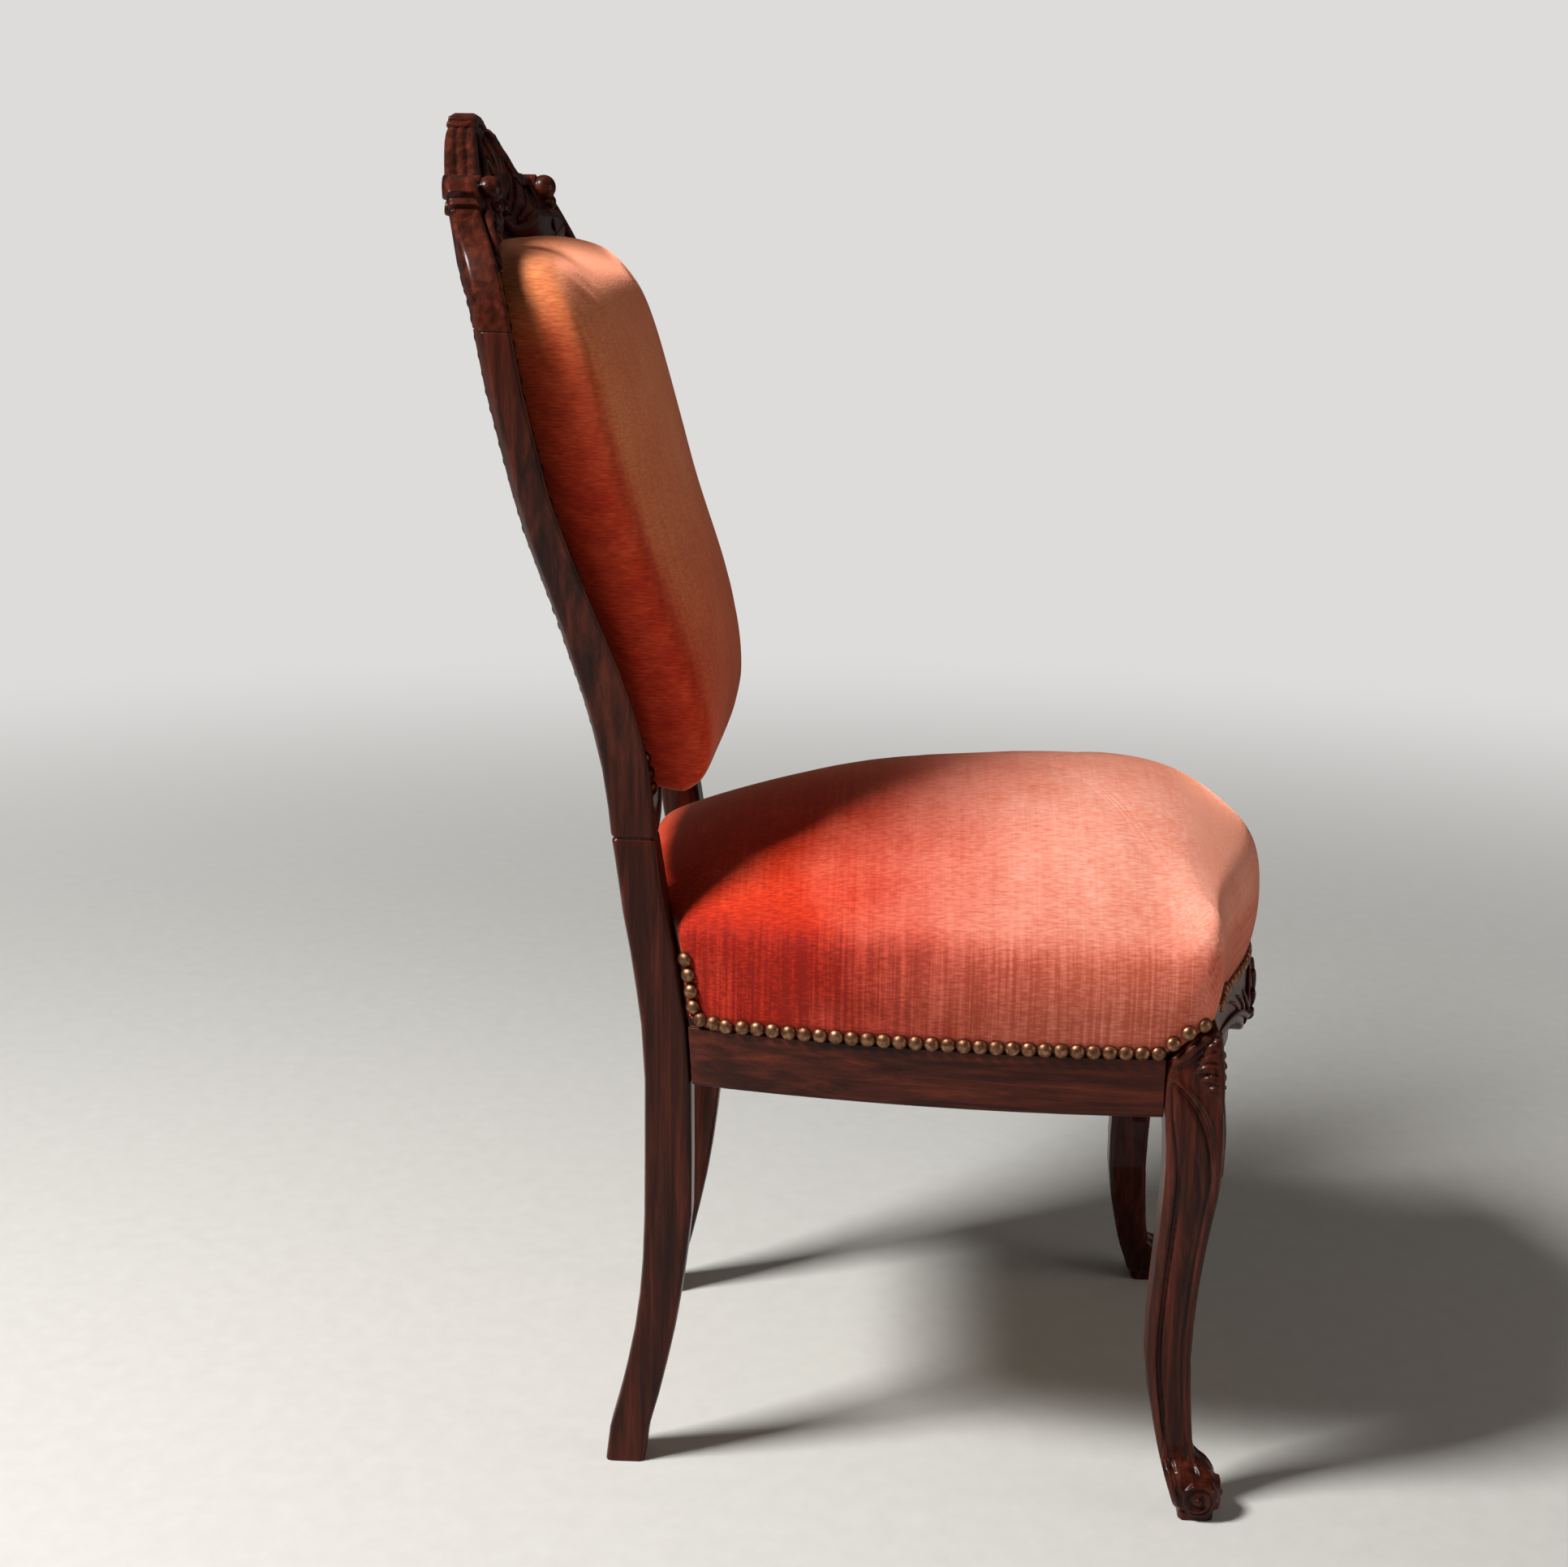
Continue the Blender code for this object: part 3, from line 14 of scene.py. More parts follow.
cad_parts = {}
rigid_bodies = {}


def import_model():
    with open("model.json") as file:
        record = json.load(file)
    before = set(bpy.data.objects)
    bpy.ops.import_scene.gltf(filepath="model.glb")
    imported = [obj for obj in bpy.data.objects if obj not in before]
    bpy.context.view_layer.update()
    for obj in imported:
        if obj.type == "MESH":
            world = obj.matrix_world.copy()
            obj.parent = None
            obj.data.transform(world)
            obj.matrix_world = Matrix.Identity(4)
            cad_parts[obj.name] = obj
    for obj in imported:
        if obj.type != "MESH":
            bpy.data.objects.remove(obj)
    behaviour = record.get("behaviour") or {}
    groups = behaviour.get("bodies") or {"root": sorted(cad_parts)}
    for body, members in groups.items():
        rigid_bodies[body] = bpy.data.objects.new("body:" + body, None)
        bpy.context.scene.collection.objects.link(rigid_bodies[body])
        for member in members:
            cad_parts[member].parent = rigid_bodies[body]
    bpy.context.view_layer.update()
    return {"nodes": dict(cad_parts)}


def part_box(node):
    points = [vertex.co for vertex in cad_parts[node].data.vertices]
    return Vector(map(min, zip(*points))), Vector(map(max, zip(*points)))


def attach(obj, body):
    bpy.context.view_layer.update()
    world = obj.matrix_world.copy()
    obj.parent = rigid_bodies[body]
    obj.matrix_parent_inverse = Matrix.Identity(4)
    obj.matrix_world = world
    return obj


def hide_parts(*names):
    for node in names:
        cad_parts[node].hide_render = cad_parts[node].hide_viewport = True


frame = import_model()
nodes = frame["nodes"]
scene = bpy.context.scene
scene.view_settings.view_transform = "Standard"
toRear, toLeft, upward = Vector((0, 1, 0)), Vector((1, 0, 0)), Vector((0, 0, 1))

cornerBlocks = [f"corner_block_{i}" for i in (1, 2, 3, 4)]
seatRails = ["side_rail_left", "side_rail_right", "front_rail", "rear_rail"]
frontLegs = ["front_leg_left", "front_leg_right"]
rearLegs = ["rear_leg_left", "rear_leg_right"]
backFrame = rearLegs + ["crest_rail", "lower_back_rail"]
seatFrame = seatRails + frontLegs + rearLegs + cornerBlocks


# Selecting, copying, editing and joining

def pick(*objs):  # the first of them is the active one
    for obj in list(bpy.context.selected_objects):
        obj.select_set(False)
    for obj in objs:
        obj.select_set(True)
    bpy.context.view_layer.objects.active = objs[0]


def placeInMesh(obj):  # the finished piece sits at the origin, unturned
    pick(obj)
    bpy.ops.object.transform_apply(location=True, rotation=True, scale=True)
    return obj


def edited(obj, change):  # a change made in edit mode with the whole mesh chosen
    pick(obj)
    bpy.ops.object.mode_set(mode="EDIT")
    bpy.ops.mesh.select_all(action="SELECT")
    change()
    bpy.ops.object.mode_set(mode="OBJECT")
    return obj


def shaped(obj, kind, **settings):  # a modifier put on with its settings, and applied
    pick(obj)
    bpy.ops.object.modifier_add(type=kind)
    modifier = obj.modifiers[-1]
    for key, value in settings.items():
        setattr(modifier, key, value)
    bpy.ops.object.modifier_apply(modifier=modifier.name)
    return obj


def joinAll(parts, name):
    pick(*parts)
    if len(parts) > 1:
        bpy.ops.object.join()
    parts[0].name = name
    parts[0].data.name = name
    return parts[0]


def twinOf(obj, name):
    twin = obj.copy()
    twin.data = obj.data.copy()
    twin.name = name
    twin.data.name = name
    scene.collection.objects.link(twin)
    return twin


def copyNode(node, name, quads=True):  # an own mesh, merged, with none of the frame's marks
    obj = twinOf(nodes[node], name)
    obj.parent = None
    for key in list(obj.keys()):
        del obj[key]

    def merge():
        bpy.ops.mesh.remove_doubles(threshold=0.00002)
        if quads:
            bpy.ops.mesh.tris_convert_to_quads()

    return edited(obj, merge)


def readPoints(obj):
    points = np.zeros(len(obj.data.vertices) * 3)
    obj.data.vertices.foreach_get("co", points)
    return points.reshape(-1, 3)


def writePoints(obj, points):
    obj.data.vertices.foreach_set("co", np.asarray(points, float).ravel())
    obj.data.update()


def readNormals(obj):
    normals = np.zeros(len(obj.data.vertices) * 3)
    obj.data.vertices.foreach_get("normal", normals)
    return normals.reshape(-1, 3)


def surfaceOf(*objs):
    points, faces = [], []
    for obj in objs:
        start = len(points)
        points += [vert.co.copy() for vert in obj.data.vertices]
        faces += [[start + i for i in face.vertices] for face in obj.data.polygons]
    return BVHTree.FromPolygons(points, faces)


def ease(t):
    t = np.clip(t, 0.0, 1.0)
    return t * t * (3 - 2 * t)


def dress(obj, material):
    obj.data.materials.clear()
    obj.data.materials.append(material)
    pick(obj)
    bpy.ops.object.shade_smooth()
    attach(obj, "root")
    return obj


# Colours and shader nodes

def toLinear(hexColour):
    channels = [int(hexColour[i:i + 2], 16) / 255 for i in (1, 3, 5)]
    return [c / 12.92 if c <= 0.04045 else ((c + 0.055) / 1.055) ** 2.4 for c in channels] + [1.0]


def addNode(tree, kind, settings=None, links=None):
    node = tree.nodes.new("ShaderNode" + kind)
    for key, value in (settings or {}).items():
        if isinstance(key, int) or key in node.inputs:
            node.inputs[key].default_value = value
        else:
            setattr(node, key, value)
    for key, source in (links or {}).items():
        tree.links.new(source, node.inputs[key])
    return node


def setStops(ramp, stops):
    elements = ramp.color_ramp.elements
    while len(elements) < len(stops):
        elements.new(0.5)
    for element, (place, hexColour) in zip(elements, stops):
        element.position = place
        element.color = toLinear(hexColour)
    return ramp


def startMaterial(name):
    material = bpy.data.materials.new(name)
    material.use_nodes = True
    tree = material.node_tree
    shader = tree.nodes["Principled BSDF"]
    place = addNode(tree, "TexCoord").outputs["Object"]
    return material, tree, shader, place


def reckon(tree, operation, links, values=None):
    return addNode(tree, "Math", {"operation": operation, **(values or {})}, links).outputs[0]


def remap(tree, source, settings):
    return addNode(tree, "MapRange", settings, {0: source}).outputs[0]


def rampOf(tree, tone, stops):
    return setStops(addNode(tree, "ValToRGB", links={"Fac": tone}), stops).outputs["Color"]


def blended(tree, share, first, second):  # the second colour is a shader's output or plain
    plain = isinstance(second, str)
    settings = {"data_type": "RGBA", **({7: toLinear(second)} if plain else {})}
    links = {0: share, 6: first, **({} if plain else {7: second})}
    return addNode(tree, "Mix", settings, links).outputs[2]


def wire(tree, shader, sources, values):
    for key, source in sources.items():
        tree.links.new(source, shader.inputs[key])
    for key, value in values.items():
        shader.inputs[key].default_value = value


def bumpOf(tree, height, strength, distance):
    settings = {"Strength": strength, "Distance": distance}
    return addNode(tree, "Bump", settings, {"Height": height}).outputs["Normal"]


def grainNoise(tree, place, size, detail=3.0, roughness=0.6, distortion=0.0):
    scaled = addNode(tree, "Mapping", {"Scale": [1 / s for s in size]}, {"Vector": place})
    noise = {"Scale": 1.0, "Detail": detail, "Roughness": roughness, "Distortion": distortion}
    return addNode(tree, "TexNoise", noise, {"Vector": scaled.outputs[0]}).outputs["Fac"]


def weigh(tree, first, second, share):  # first plus second's swing about its middle
    swing = reckon(tree, "MULTIPLY_ADD", {0: second}, {1: share, 2: -share / 2})
    return reckon(tree, "ADD", {0: first, 1: swing})


# Cut-pile velvet: the pile lies in short flecks, and the warp shows as soft darker lines.
# Painted sheen: where light grazes the pile the colour is mixed toward pale pink; elsewhere it stays deep
# orange-red.
seatVelvet = {
    "deep": [(0.26, "#881003"), (0.45, "#c0260a"), (0.58, "#e23b10"), (0.78, "#f26a30")],
    "paintedSheenColours": [(0.26, "#cf664d"), (0.45, "#ec917a"), (0.58, "#f6af9b"), (0.78, "#fccbbb")],
    # painted sheen, pale toward the front and most on the top; ways on one half of the chair, mirrored to the
    # other: way, span, least share
    "nap": [((0, -1, 0), (-0.06, 0.19), 0.0), ((0, 0, 1), (0.40, 0.445), 0.75)],
    "shade": [((0, 0, -1), (-0.426, -0.404), 0.0), 0.18],  # painted shade: the upright side is darkened
    "wrap": [((0, -1, 0), (0.236, 0.256), 0.0), 90],  # the weave turns down over the front
    "fleckSize": (0.0014, 0.0075, 0.0014),  # a fleck of pile is about 1.4 by 7 mm
    "strieSize": (0.110, 0.0030, 0.110),  # lines 3 to 4 mm apart
    "strieShare": (0.10, 0.50),  # on top, and what the upright side adds
    "patchSize": 0.050,
}
backVelvet = {
    "deep": [(0.26, "#841204"), (0.45, "#b4260b"), (0.58, "#d03812"), (0.78, "#e65f2e")],
    "paintedSheenColours": [(0.26, "#b24c25"), (0.45, "#d47646"), (0.58, "#e3905e"), (0.78, "#eeac7f")],
    # painted sheen: pale inside the pad's edge, where the light grazes the pile
    "nap": [((-1, 0, 0.224), (-0.034, 0.002), 0.0), ((0, 0, 1), (0.50, 0.80), 0.30)],
    # painted shade: the pad's sides are darkened
    "shade": [((1, 0, -0.224), (0.010, 0.022), 0.0), 0.08],
    "wrap": [((0, -1, 0), (2.0, 3.0), 0.0), 0],  # nothing turns down here
    "fleckSize": (0.0075, 0.0075, 0.0013),
    "strieSize": (0.0036, 0.050, 0.160),
    "strieShare": (0.22, 0.0),
    "patchSize": 0.060,
}
velvetShares = {"patch": 0.16, "patchInPaintedSheen": 0.30, "strieInPaintedSheen": 0.20, "strieInRelief": 0.7}
velvetSheen = {
    "Roughness": 0.80, "Specular IOR Level": 0.2,
    "Sheen Weight": 1.0, "Sheen Roughness": 0.38, "Sheen Tint": toLinear("#ffa88a"),
}


def slopeAlong(tree, place, way, span, least):
    height = addNode(tree, "VectorMath", {"operation": "DOT_PRODUCT", 1: way}, {0: place})
    span = {"interpolation_type": "SMOOTHSTEP", 1: span[0], 2: span[1], 3: least}
    return remap(tree, height.outputs["Value"], span)


frontEdge = (0, 0.180, 0.670)  # brings the turned weave back to the top's at the front edge


def weaveOver(tree, place, slope, degrees):  # the weave's own place, turned where the cloth turns down
    turn = {"Rotation": (math.radians(degrees), 0, 0), "Location": frontEdge}
    turned = addNode(tree, "Mapping", turn, {"Vector": place}).outputs[0]
    links = {0: slopeAlong(tree, place, *slope), 4: place, 5: turned}
    return addNode(tree, "Mix", {"data_type": "VECTOR"}, links).outputs[1]


def makeVelvet(name, look):
    material, tree, shader, place = startMaterial(name)
    axes = addNode(tree, "SeparateXYZ", links={0: place}).outputs
    half = {0: reckon(tree, "ABSOLUTE", {0: axes[0]}), 1: axes[1], 2: axes[2]}
    folded = addNode(tree, "CombineXYZ", links=half).outputs[0]
    weave = weaveOver(tree, place, *look["wrap"])
    fleck = grainNoise(tree, weave, look["fleckSize"], 2.0, 0.6)
    strie = grainNoise(tree, weave, look["strieSize"], 4.0, 0.65)
    patch = grainNoise(tree, place, [look["patchSize"]] * 3, 2.0, 0.5)
    quiet = remap(tree, fleck, {3: 0.26, 4: 0.74})
    slope, paintedShadeDepth = look["shade"]
    upright = slopeAlong(tree, folded, *slope)
    least, added = look["strieShare"]
    share = reckon(tree, "MULTIPLY_ADD", {0: upright}, {1: added, 2: least})
    swing = reckon(tree, "SUBTRACT", {0: strie}, {1: 0.5})
    tone = reckon(tree, "MULTIPLY_ADD", {0: swing, 1: share, 2: quiet})
    # painted shade: darker on the upright sides
    tone = reckon(tree, "MULTIPLY_ADD", {0: upright, 2: tone}, {1: -paintedShadeDepth})
    tone = weigh(tree, tone, patch, velvetShares["patch"])
    # painted sheen: the pale pink colours are mixed in where light would graze the pile
    across, up = [slopeAlong(tree, folded, *slope) for slope in look["nap"]]
    nap = weigh(tree, reckon(tree, "MULTIPLY", {0: across, 1: up}), patch, velvetShares["patchInPaintedSheen"])
    nap = weigh(tree, nap, strie, velvetShares["strieInPaintedSheen"])
    colour = blended(tree, nap, rampOf(tree, tone, look["deep"]), rampOf(tree, tone, look["paintedSheenColours"]))
    bump = bumpOf(tree, weigh(tree, fleck, strie, velvetShares["strieInRelief"]), 0.35, 0.0005)
    wire(tree, shader, {"Base Color": colour, "Normal": bump}, velvetSheen)
    return material


# French-polished rosewood, nearly black: fine dark pores along the grain, red where the polish
# has worn, painted shade darkening the hollows, and a hard clear gloss over all of it.
polishedWood = {
    "figure": [(0.28, "#1c0a05"), (0.45, "#34140c"), (0.60, "#4e2015"), (0.78, "#6a2e1e")],
    "worn": "#7c3420", "cavityShadeColour": "#080303",
    "grain": (0.160, 0.0075), "broad": (0.20, 0.05),  # length and width
    "pore": (0.014, 0.0008),  # real pores are finer; this is what shows
    "gloss": {"Specular IOR Level": 0.10, "Coat Weight": 0.14, "Coat Roughness": 0.10},
}


def along(axis, length, width):
    size = [width, width, width]
    size[axis] = length
    return size


def makeWood(name, look, axis):
    material, tree, shader, place = startMaterial(name)
    figure = grainNoise(tree, place, along(axis, *look["grain"]), 5.0, 0.62, 0.5)
    pores = grainNoise(tree, place, along(axis, *look["pore"]), 2.0, 0.5)
    broad = grainNoise(tree, place, along(axis, *look["broad"]), 2.0, 0.5)
    tone = weigh(tree, weigh(tree, figure, pores, 0.16), broad, 0.25)
    form = addNode(tree, "NewGeometry").outputs["Pointiness"]
    edge = remap(tree, form, {1: 0.53, 2: 0.64, 4: 0.75})
    rubbed = reckon(tree, "MULTIPLY", {0: edge, 1: broad})
    worn = blended(tree, rubbed, rampOf(tree, tone, look["figure"]), look["worn"])
    # painted shade: hollows, found by their pointiness, are darkened toward black
    cavityShadeShare = remap(tree, form, {1: 0.485, 2: 0.42, 4: 0.90})
    sources = {
        "Base Color": blended(tree, cavityShadeShare, worn, look["cavityShadeColour"]),
        "Roughness": remap(tree, broad, {1: 0.3, 2: 0.7, 3: 0.26, 4: 0.44}),
        "Normal": bumpOf(tree, pores, 0.12, 0.0004),
    }
    wire(tree, shader, sources, look["gloss"])
    return material


# Beech with short flecks: unpolished and pale where it shows only from below, stained on the rear
# rail.
plainBeech = {"figure": [(0.30, "#a3794d"), (0.55, "#bd9566"), (0.75, "#cfaa7b")], "roughness": 0.62}
stainedBeech = {"figure": [(0.30, "#28120b"), (0.55, "#3b1c11"), (0.75, "#512a1a")], "roughness": 0.42}


def makeBeech(name, look, axis):
    material, tree, shader, place = startMaterial(name)
    figure = grainNoise(tree, place, along(axis, 0.09, 0.006), 4.0, 0.6)
    flecks = grainNoise(tree, place, along(axis, 0.005, 0.0007), 1.0, 0.5)
    colour = rampOf(tree, weigh(tree, figure, flecks, 0.30), look["figure"])
    bump = bumpOf(tree, flecks, 0.2, 0.0003)
    wire(tree, shader, {"Base Color": colour, "Normal": bump}, {"Roughness": look["roughness"]})
    return material


# Jute: coarse plain weave with slubs. Threads 2 mm apart in the hessian, 1.6 mm in the webbing.
hessianJute = {"colours": [(0.25, "#5d4a2f"), (0.55, "#94794f"), (0.80, "#b79c6e")], "thread": 0.0020}
webbingJute = {"colours": [(0.25, "#6b5335"), (0.55, "#a58a5c"), (0.80, "#c6ae80")], "thread": 0.0016}


def makeJute(name, look):
    material, tree, shader, place = startMaterial(name)
    waves = []
    for direction in ("X", "Y"):
        wave = {"wave_type": "BANDS", "bands_direction": direction, "Scale": 0.314 / look["thread"],
                "Distortion": 0.6, "Detail": 1.0, "Detail Scale": 0.3}
        waves.append(addNode(tree, "TexWave", wave, {"Vector": place}).outputs["Fac"])
    slub = grainNoise(tree, place, (0.004, 0.012, 0.006), 3.0, 0.6)
    weave = reckon(tree, "MAXIMUM", {0: waves[0], 1: waves[1]})
    colour = rampOf(tree, weigh(tree, slub, weave, 0.45), look["colours"])
    bump = bumpOf(tree, weave, 0.6, 0.0008)
    wire(tree, shader, {"Base Color": colour, "Normal": bump}, {"Roughness": 0.9, "Specular IOR Level": 0.2})
    return material


# Metals: stamped brass gone brown in patches, coppered spring wire, blued tacks, steel screws.
# Each has its tones, its roughness where tarnished and where bright, and the tarnish's size.
metalLooks = {
    "antiqueBrassStamped": [("#4a3124", "#8a6249", "#b48c6c"), (0.56, 0.38), 0.004],
    "darkBrassStamped": [("#1d130d", "#3c2a1e", "#5a4230"), (0.50, 0.30), 0.004],
    "copperedSpringWire": [("#4a3126", "#7d5641", "#a0765a"), (0.50, 0.30), 0.010],
    "bluedTackSteel": [("#17191d", "#2a2d33", "#43464c"), (0.45, 0.28), 0.003],
    "screwSteelTurned": [("#4b4a48", "#77746f", "#96938d"), (0.42, 0.24), 0.003],
}


def makeMetal(name, tones, roughness, size):
    material, tree, shader, place = startMaterial(name)
    tarnish = grainNoise(tree, place, [size] * 3, 4.0, 0.65)
    sources = {
        "Base Color": rampOf(tree, tarnish, list(zip((0.30, 0.52, 0.72), tones))),
        "Roughness": remap(tree, tarnish, {1: 0.3, 2: 0.7, 3: roughness[0], 4: roughness[1]}),
    }
    wire(tree, shader, sources, {"Metallic": 1.0})
    return material


finishes = {name: makeMetal(name, *look) for name, look in metalLooks.items()}
finishes.update({
    "seatVelvet": makeVelvet("coralVelvetCutPile", seatVelvet),
    "backVelvet": makeVelvet("coralVelvetCutPileUpright", backVelvet),
    "beechStained": makeBeech("beechStainedAcross", stainedBeech, 0),
    "hessian": makeJute("juteHessianWoven", hessianJute),
    "webbing": makeJute("juteWebbingWoven", webbingJute),
})
for axis, (letter, way) in enumerate((("X", "Across"), ("Y", "Deep"), ("Z", "Upright"))):
    finishes["wood" + letter] = makeWood("rosewoodFrenchPolished" + way, polishedWood, axis)
    finishes["beech" + letter] = makeBeech("beechPlaned" + way, plainBeech, axis)
print("finishes made:", len(finishes))


# Shown wood is the frame's own form with its sharp edges rubbed round, each stick's grain along it.
# The front legs come later, with their carving.
shownWood = {
    "woodX": ["crest_rail", "lower_back_rail", "front_rail"],
    "woodY": seatRails[:2],
    "woodZ": rearLegs,
}
rubbedEdge = {"width": 0.0008, "sharper": 30, "smoothTo": 38, "stray": 0.0007}
hiddenWood = {
    "beechStained": ["rear_rail"],
    "beechX": cornerBlocks,
    "beechY": ["crest_dowel_left", "crest_dowel_right"],
}


def pieceName(node):
    first, *rest = node.split("_")
    return first + "".join(word.capitalize() for word in rest)


def rubEdges(node, finish, look):
    obj = shaped(
        copyNode(node, pieceName(node)), "BEVEL", width=look["width"], segments=2, limit_method="ANGLE",
        angle_limit=math.radians(look["sharper"]), use_clamp_overlap=False)
    wood = surfaceOf(nodes[node])
    for vert in obj.data.vertices:  # a bevel thrown off by a narrow face goes back to the wood
        place, _, _, away = wood.find_nearest(vert.co)
        if away > look["stray"]:
            vert.co = place
    dress(obj, finishes[finish])
    obj.data.set_sharp_from_angle(angle=math.radians(look["smoothTo"]))
    shaped(obj, "WEIGHTED_NORMAL", keep_sharp=True)
    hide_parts(node)


for finish, names in shownWood.items():
    for node in names:
        rubEdges(node, finish, rubbedEdge)
for finish, names in hiddenWood.items():
    for node in names:
        nodes[node].data.materials.clear()
        nodes[node].data.materials.append(finishes[finish])
print("wood polished")


# Cushions: what shows of each cover is blown up against its nailed edges, given its cloth's
# thickness, and closed over the stuffing

seatCushion = {"cap": 0.0018, "heldWithin": 0.009, "soften": 8, "settle": 8}
backCushion = {"cap": 0.0014, "heldWithin": 0.010, "soften": 10, "settle": 5}
stuffedCloth = {
    "start": 0.0012, "startOver": 0.020,  # first set in by so much, so far from the nailed edge
    "pressure": 4.0, "frames": 20, "tension": 22.0, "bending": 1.2,
    "thickness": 0.0020, "hairUnder": 0.006,
    "besideHair": 0.006, "besideWood": 0.0008,  # a face this close to either is an inner one
}
for look in (seatCushion, backCushion):
    look.update(stuffedCloth)


def largestIsland(obj):  # which faces belong to the obj's biggest joined patch
    owner = list(range(len(obj.data.vertices)))

    def root(i):
        while owner[i] != i:
            owner[i] = owner[owner[i]]
            i = owner[i]
        return i

    for edge in obj.data.edges:
        owner[root(edge.vertices[0])] = root(edge.vertices[1])
    homes = [root(face.vertices[0]) for face in obj.data.polygons]
    best = max(set(homes), key=homes.count)
    return [home == best for home in homes]


def dropFaces(obj, unwanted):
    scene.tool_settings.mesh_select_mode = (False, False, True)
    pick(obj)
    for face, drop in zip(obj.data.polygons, unwanted):
        face.select = drop
    bpy.ops.object.mode_set(mode="EDIT")
    bpy.ops.mesh.delete(type="FACE")
    bpy.ops.mesh.select_all(action="SELECT")
    bpy.ops.object.mode_set(mode="OBJECT")
    scene.tool_settings.mesh_select_mode = (True, False, False)


def outerSkin(cover, filling, name, wood, wraps):  # the cover, without what lies against something
    obj = copyNode(cover, name, quads=False)
    hair, own = surfaceOf(nodes[filling]), surfaceOf(obj)
    frameWood = surfaceOf(*[nodes[key] for key in wood])
    inner = []
    for face in obj.data.polygons:
        out = face.normal
        behind = face.center - out * 0.0003
        onHair = hair.ray_cast(behind, out, stuffedCloth["besideHair"])[0] is not None
        onWood = frameWood.ray_cast(behind, out, stuffedCloth["besideWood"])[0] is not None
        across = wraps and own.ray_cast(face.center + out * 0.0005, out)[0] is not None
        inner.append(onHair or onWood or across)
    dropFaces(obj, inner)
    dropFaces(obj, [not kept for kept in largestIsland(obj)])
    return edited(obj, bpy.ops.mesh.tris_convert_to_quads)


def openEdge(obj):  # the points of the skin's own edge
    uses = {}
    for face in obj.data.polygons:
        for pair in face.edge_keys:
            uses[pair] = uses.get(pair, 0) + 1
    return sorted({i for pair, count in uses.items() if count == 1 for i in pair})


def swell(obj, held, look):
    start = readPoints(obj)
    group = obj.vertex_groups.new(name="held")
    group.add([int(i) for i in np.flatnonzero(held)], 1.0, "REPLACE")
    pick(obj)
    bpy.ops.object.modifier_add(type="CLOTH")
    cloth = obj.modifiers[-1]
    settings = cloth.settings
    settings.quality = 5
    settings.tension_stiffness = look["tension"]
    settings.compression_stiffness = look["tension"]
    settings.bending_stiffness = look["bending"]
    settings.use_pressure = True
    settings.uniform_pressure_force = look["pressure"]
    settings.effector_weights.gravity = 0
    settings.vertex_group_mass = "held"
    cloth.collision_settings.use_collision = False
    for step in range(1, look["frames"] + 1):
        scene.frame_set(step)
    bpy.ops.object.modifier_apply(modifier=cloth.name)
    scene.frame_set(1)
    obj.vertex_groups.clear()
    moved = readPoints(obj) - start
    far = np.linalg.norm(moved, axis=1)
    moved *= np.minimum(1.0, look["cap"] / np.maximum(far, 1e-9))[:, None]
    writePoints(obj, start + moved)
    print("  swelled", obj.name, "mean mm", round(float(far.mean()) * 1000, 2))


def soften(obj, free, times):
    pick(obj)
    for vert, chosen in zip(obj.data.vertices, free):
        vert.select = bool(chosen)
    bpy.ops.object.mode_set(mode="EDIT")
    bpy.ops.mesh.vertices_smooth(factor=0.5, repeat=times)
    bpy.ops.object.mode_set(mode="OBJECT")


def makeCushion(cover, filling, name, look, wood, wraps):
    obj = outerSkin(cover, filling, name, wood, wraps)
    print("  skin", name, len(obj.data.polygons), "faces")
    shaped(obj, "SUBSURF", levels=2)
    points, normals = readPoints(obj), readNormals(obj)
    rim = points[openEdge(obj)]
    reach = np.array([np.sqrt(((rim - p) ** 2).sum(1).min()) for p in points])
    points -= normals * (look["start"] * ease(reach / look["startOver"]))[:, None]
    writePoints(obj, points)
    soften(obj, reach > look["heldWithin"], look["soften"])
    swell(obj, reach <= look["heldWithin"], look)
    soften(obj, reach > look["heldWithin"], look["settle"])
    return shaped(obj, "SUBSURF", levels=1)


def closeCushion(obj, filling, look):
    shaped(obj, "SOLIDIFY", thickness=look["thickness"], offset=-1)
    hair = copyNode(filling, "hair")
    writePoints(hair, readPoints(hair) - readNormals(hair) * look["hairUnder"])
    return joinAll([obj, hair], obj.name)


seatPiece = makeCushion("seat_cover", "seat_stuffing", "seatCushion", seatCushion, seatFrame, wraps=True)
backPiece = makeCushion("back_cover", "back_stuffing", "backCushion", backCushion, backFrame, wraps=False)
print("cushions made")


# Dome-headed nails

domeNail = {"headWidth": 0.0112, "headHeight": 0.0042, "sides": 12, "rings": 8}
nailTurn = 0.7  # each head is turned by this much more than the one before it, in radians
seatNailLook = {
    "pitch": 0.0112, "reach": {"least": 0.120, "most": 0.150},
    # places along each run as (x, y, z), side, knee, post and corner on the chair's right side only
    "side": [(-0.30, 0.1010, 0.3442), (-0.30, -0.2085, 0.3442)],
    "knee": [(-0.30, -0.2180, 0.3522), (-0.30, -0.2280, 0.3604), (-0.30, -0.2385, 0.3650)],
    "post": [(-0.30, 0.1120, 0.3446), (-0.30, 0.1135, 0.3560), (-0.30, 0.1152, 0.3673),
             (-0.30, 0.1172, 0.3786), (-0.30, 0.1195, 0.3898)],
    "front": [(x, -0.40, 0.3655) for x in (-0.187, -0.150, 0.150, 0.187)],
    "corner": (-0.290, -0.34, 0.3655),
    "rear": [(-0.103, 0.27, 0.3442), (0.103, 0.27, 0.3442)],
    "tilt": 0.15, "out": 0.0007,  # share of the velvet's own slope, and how far a head stands off it
}


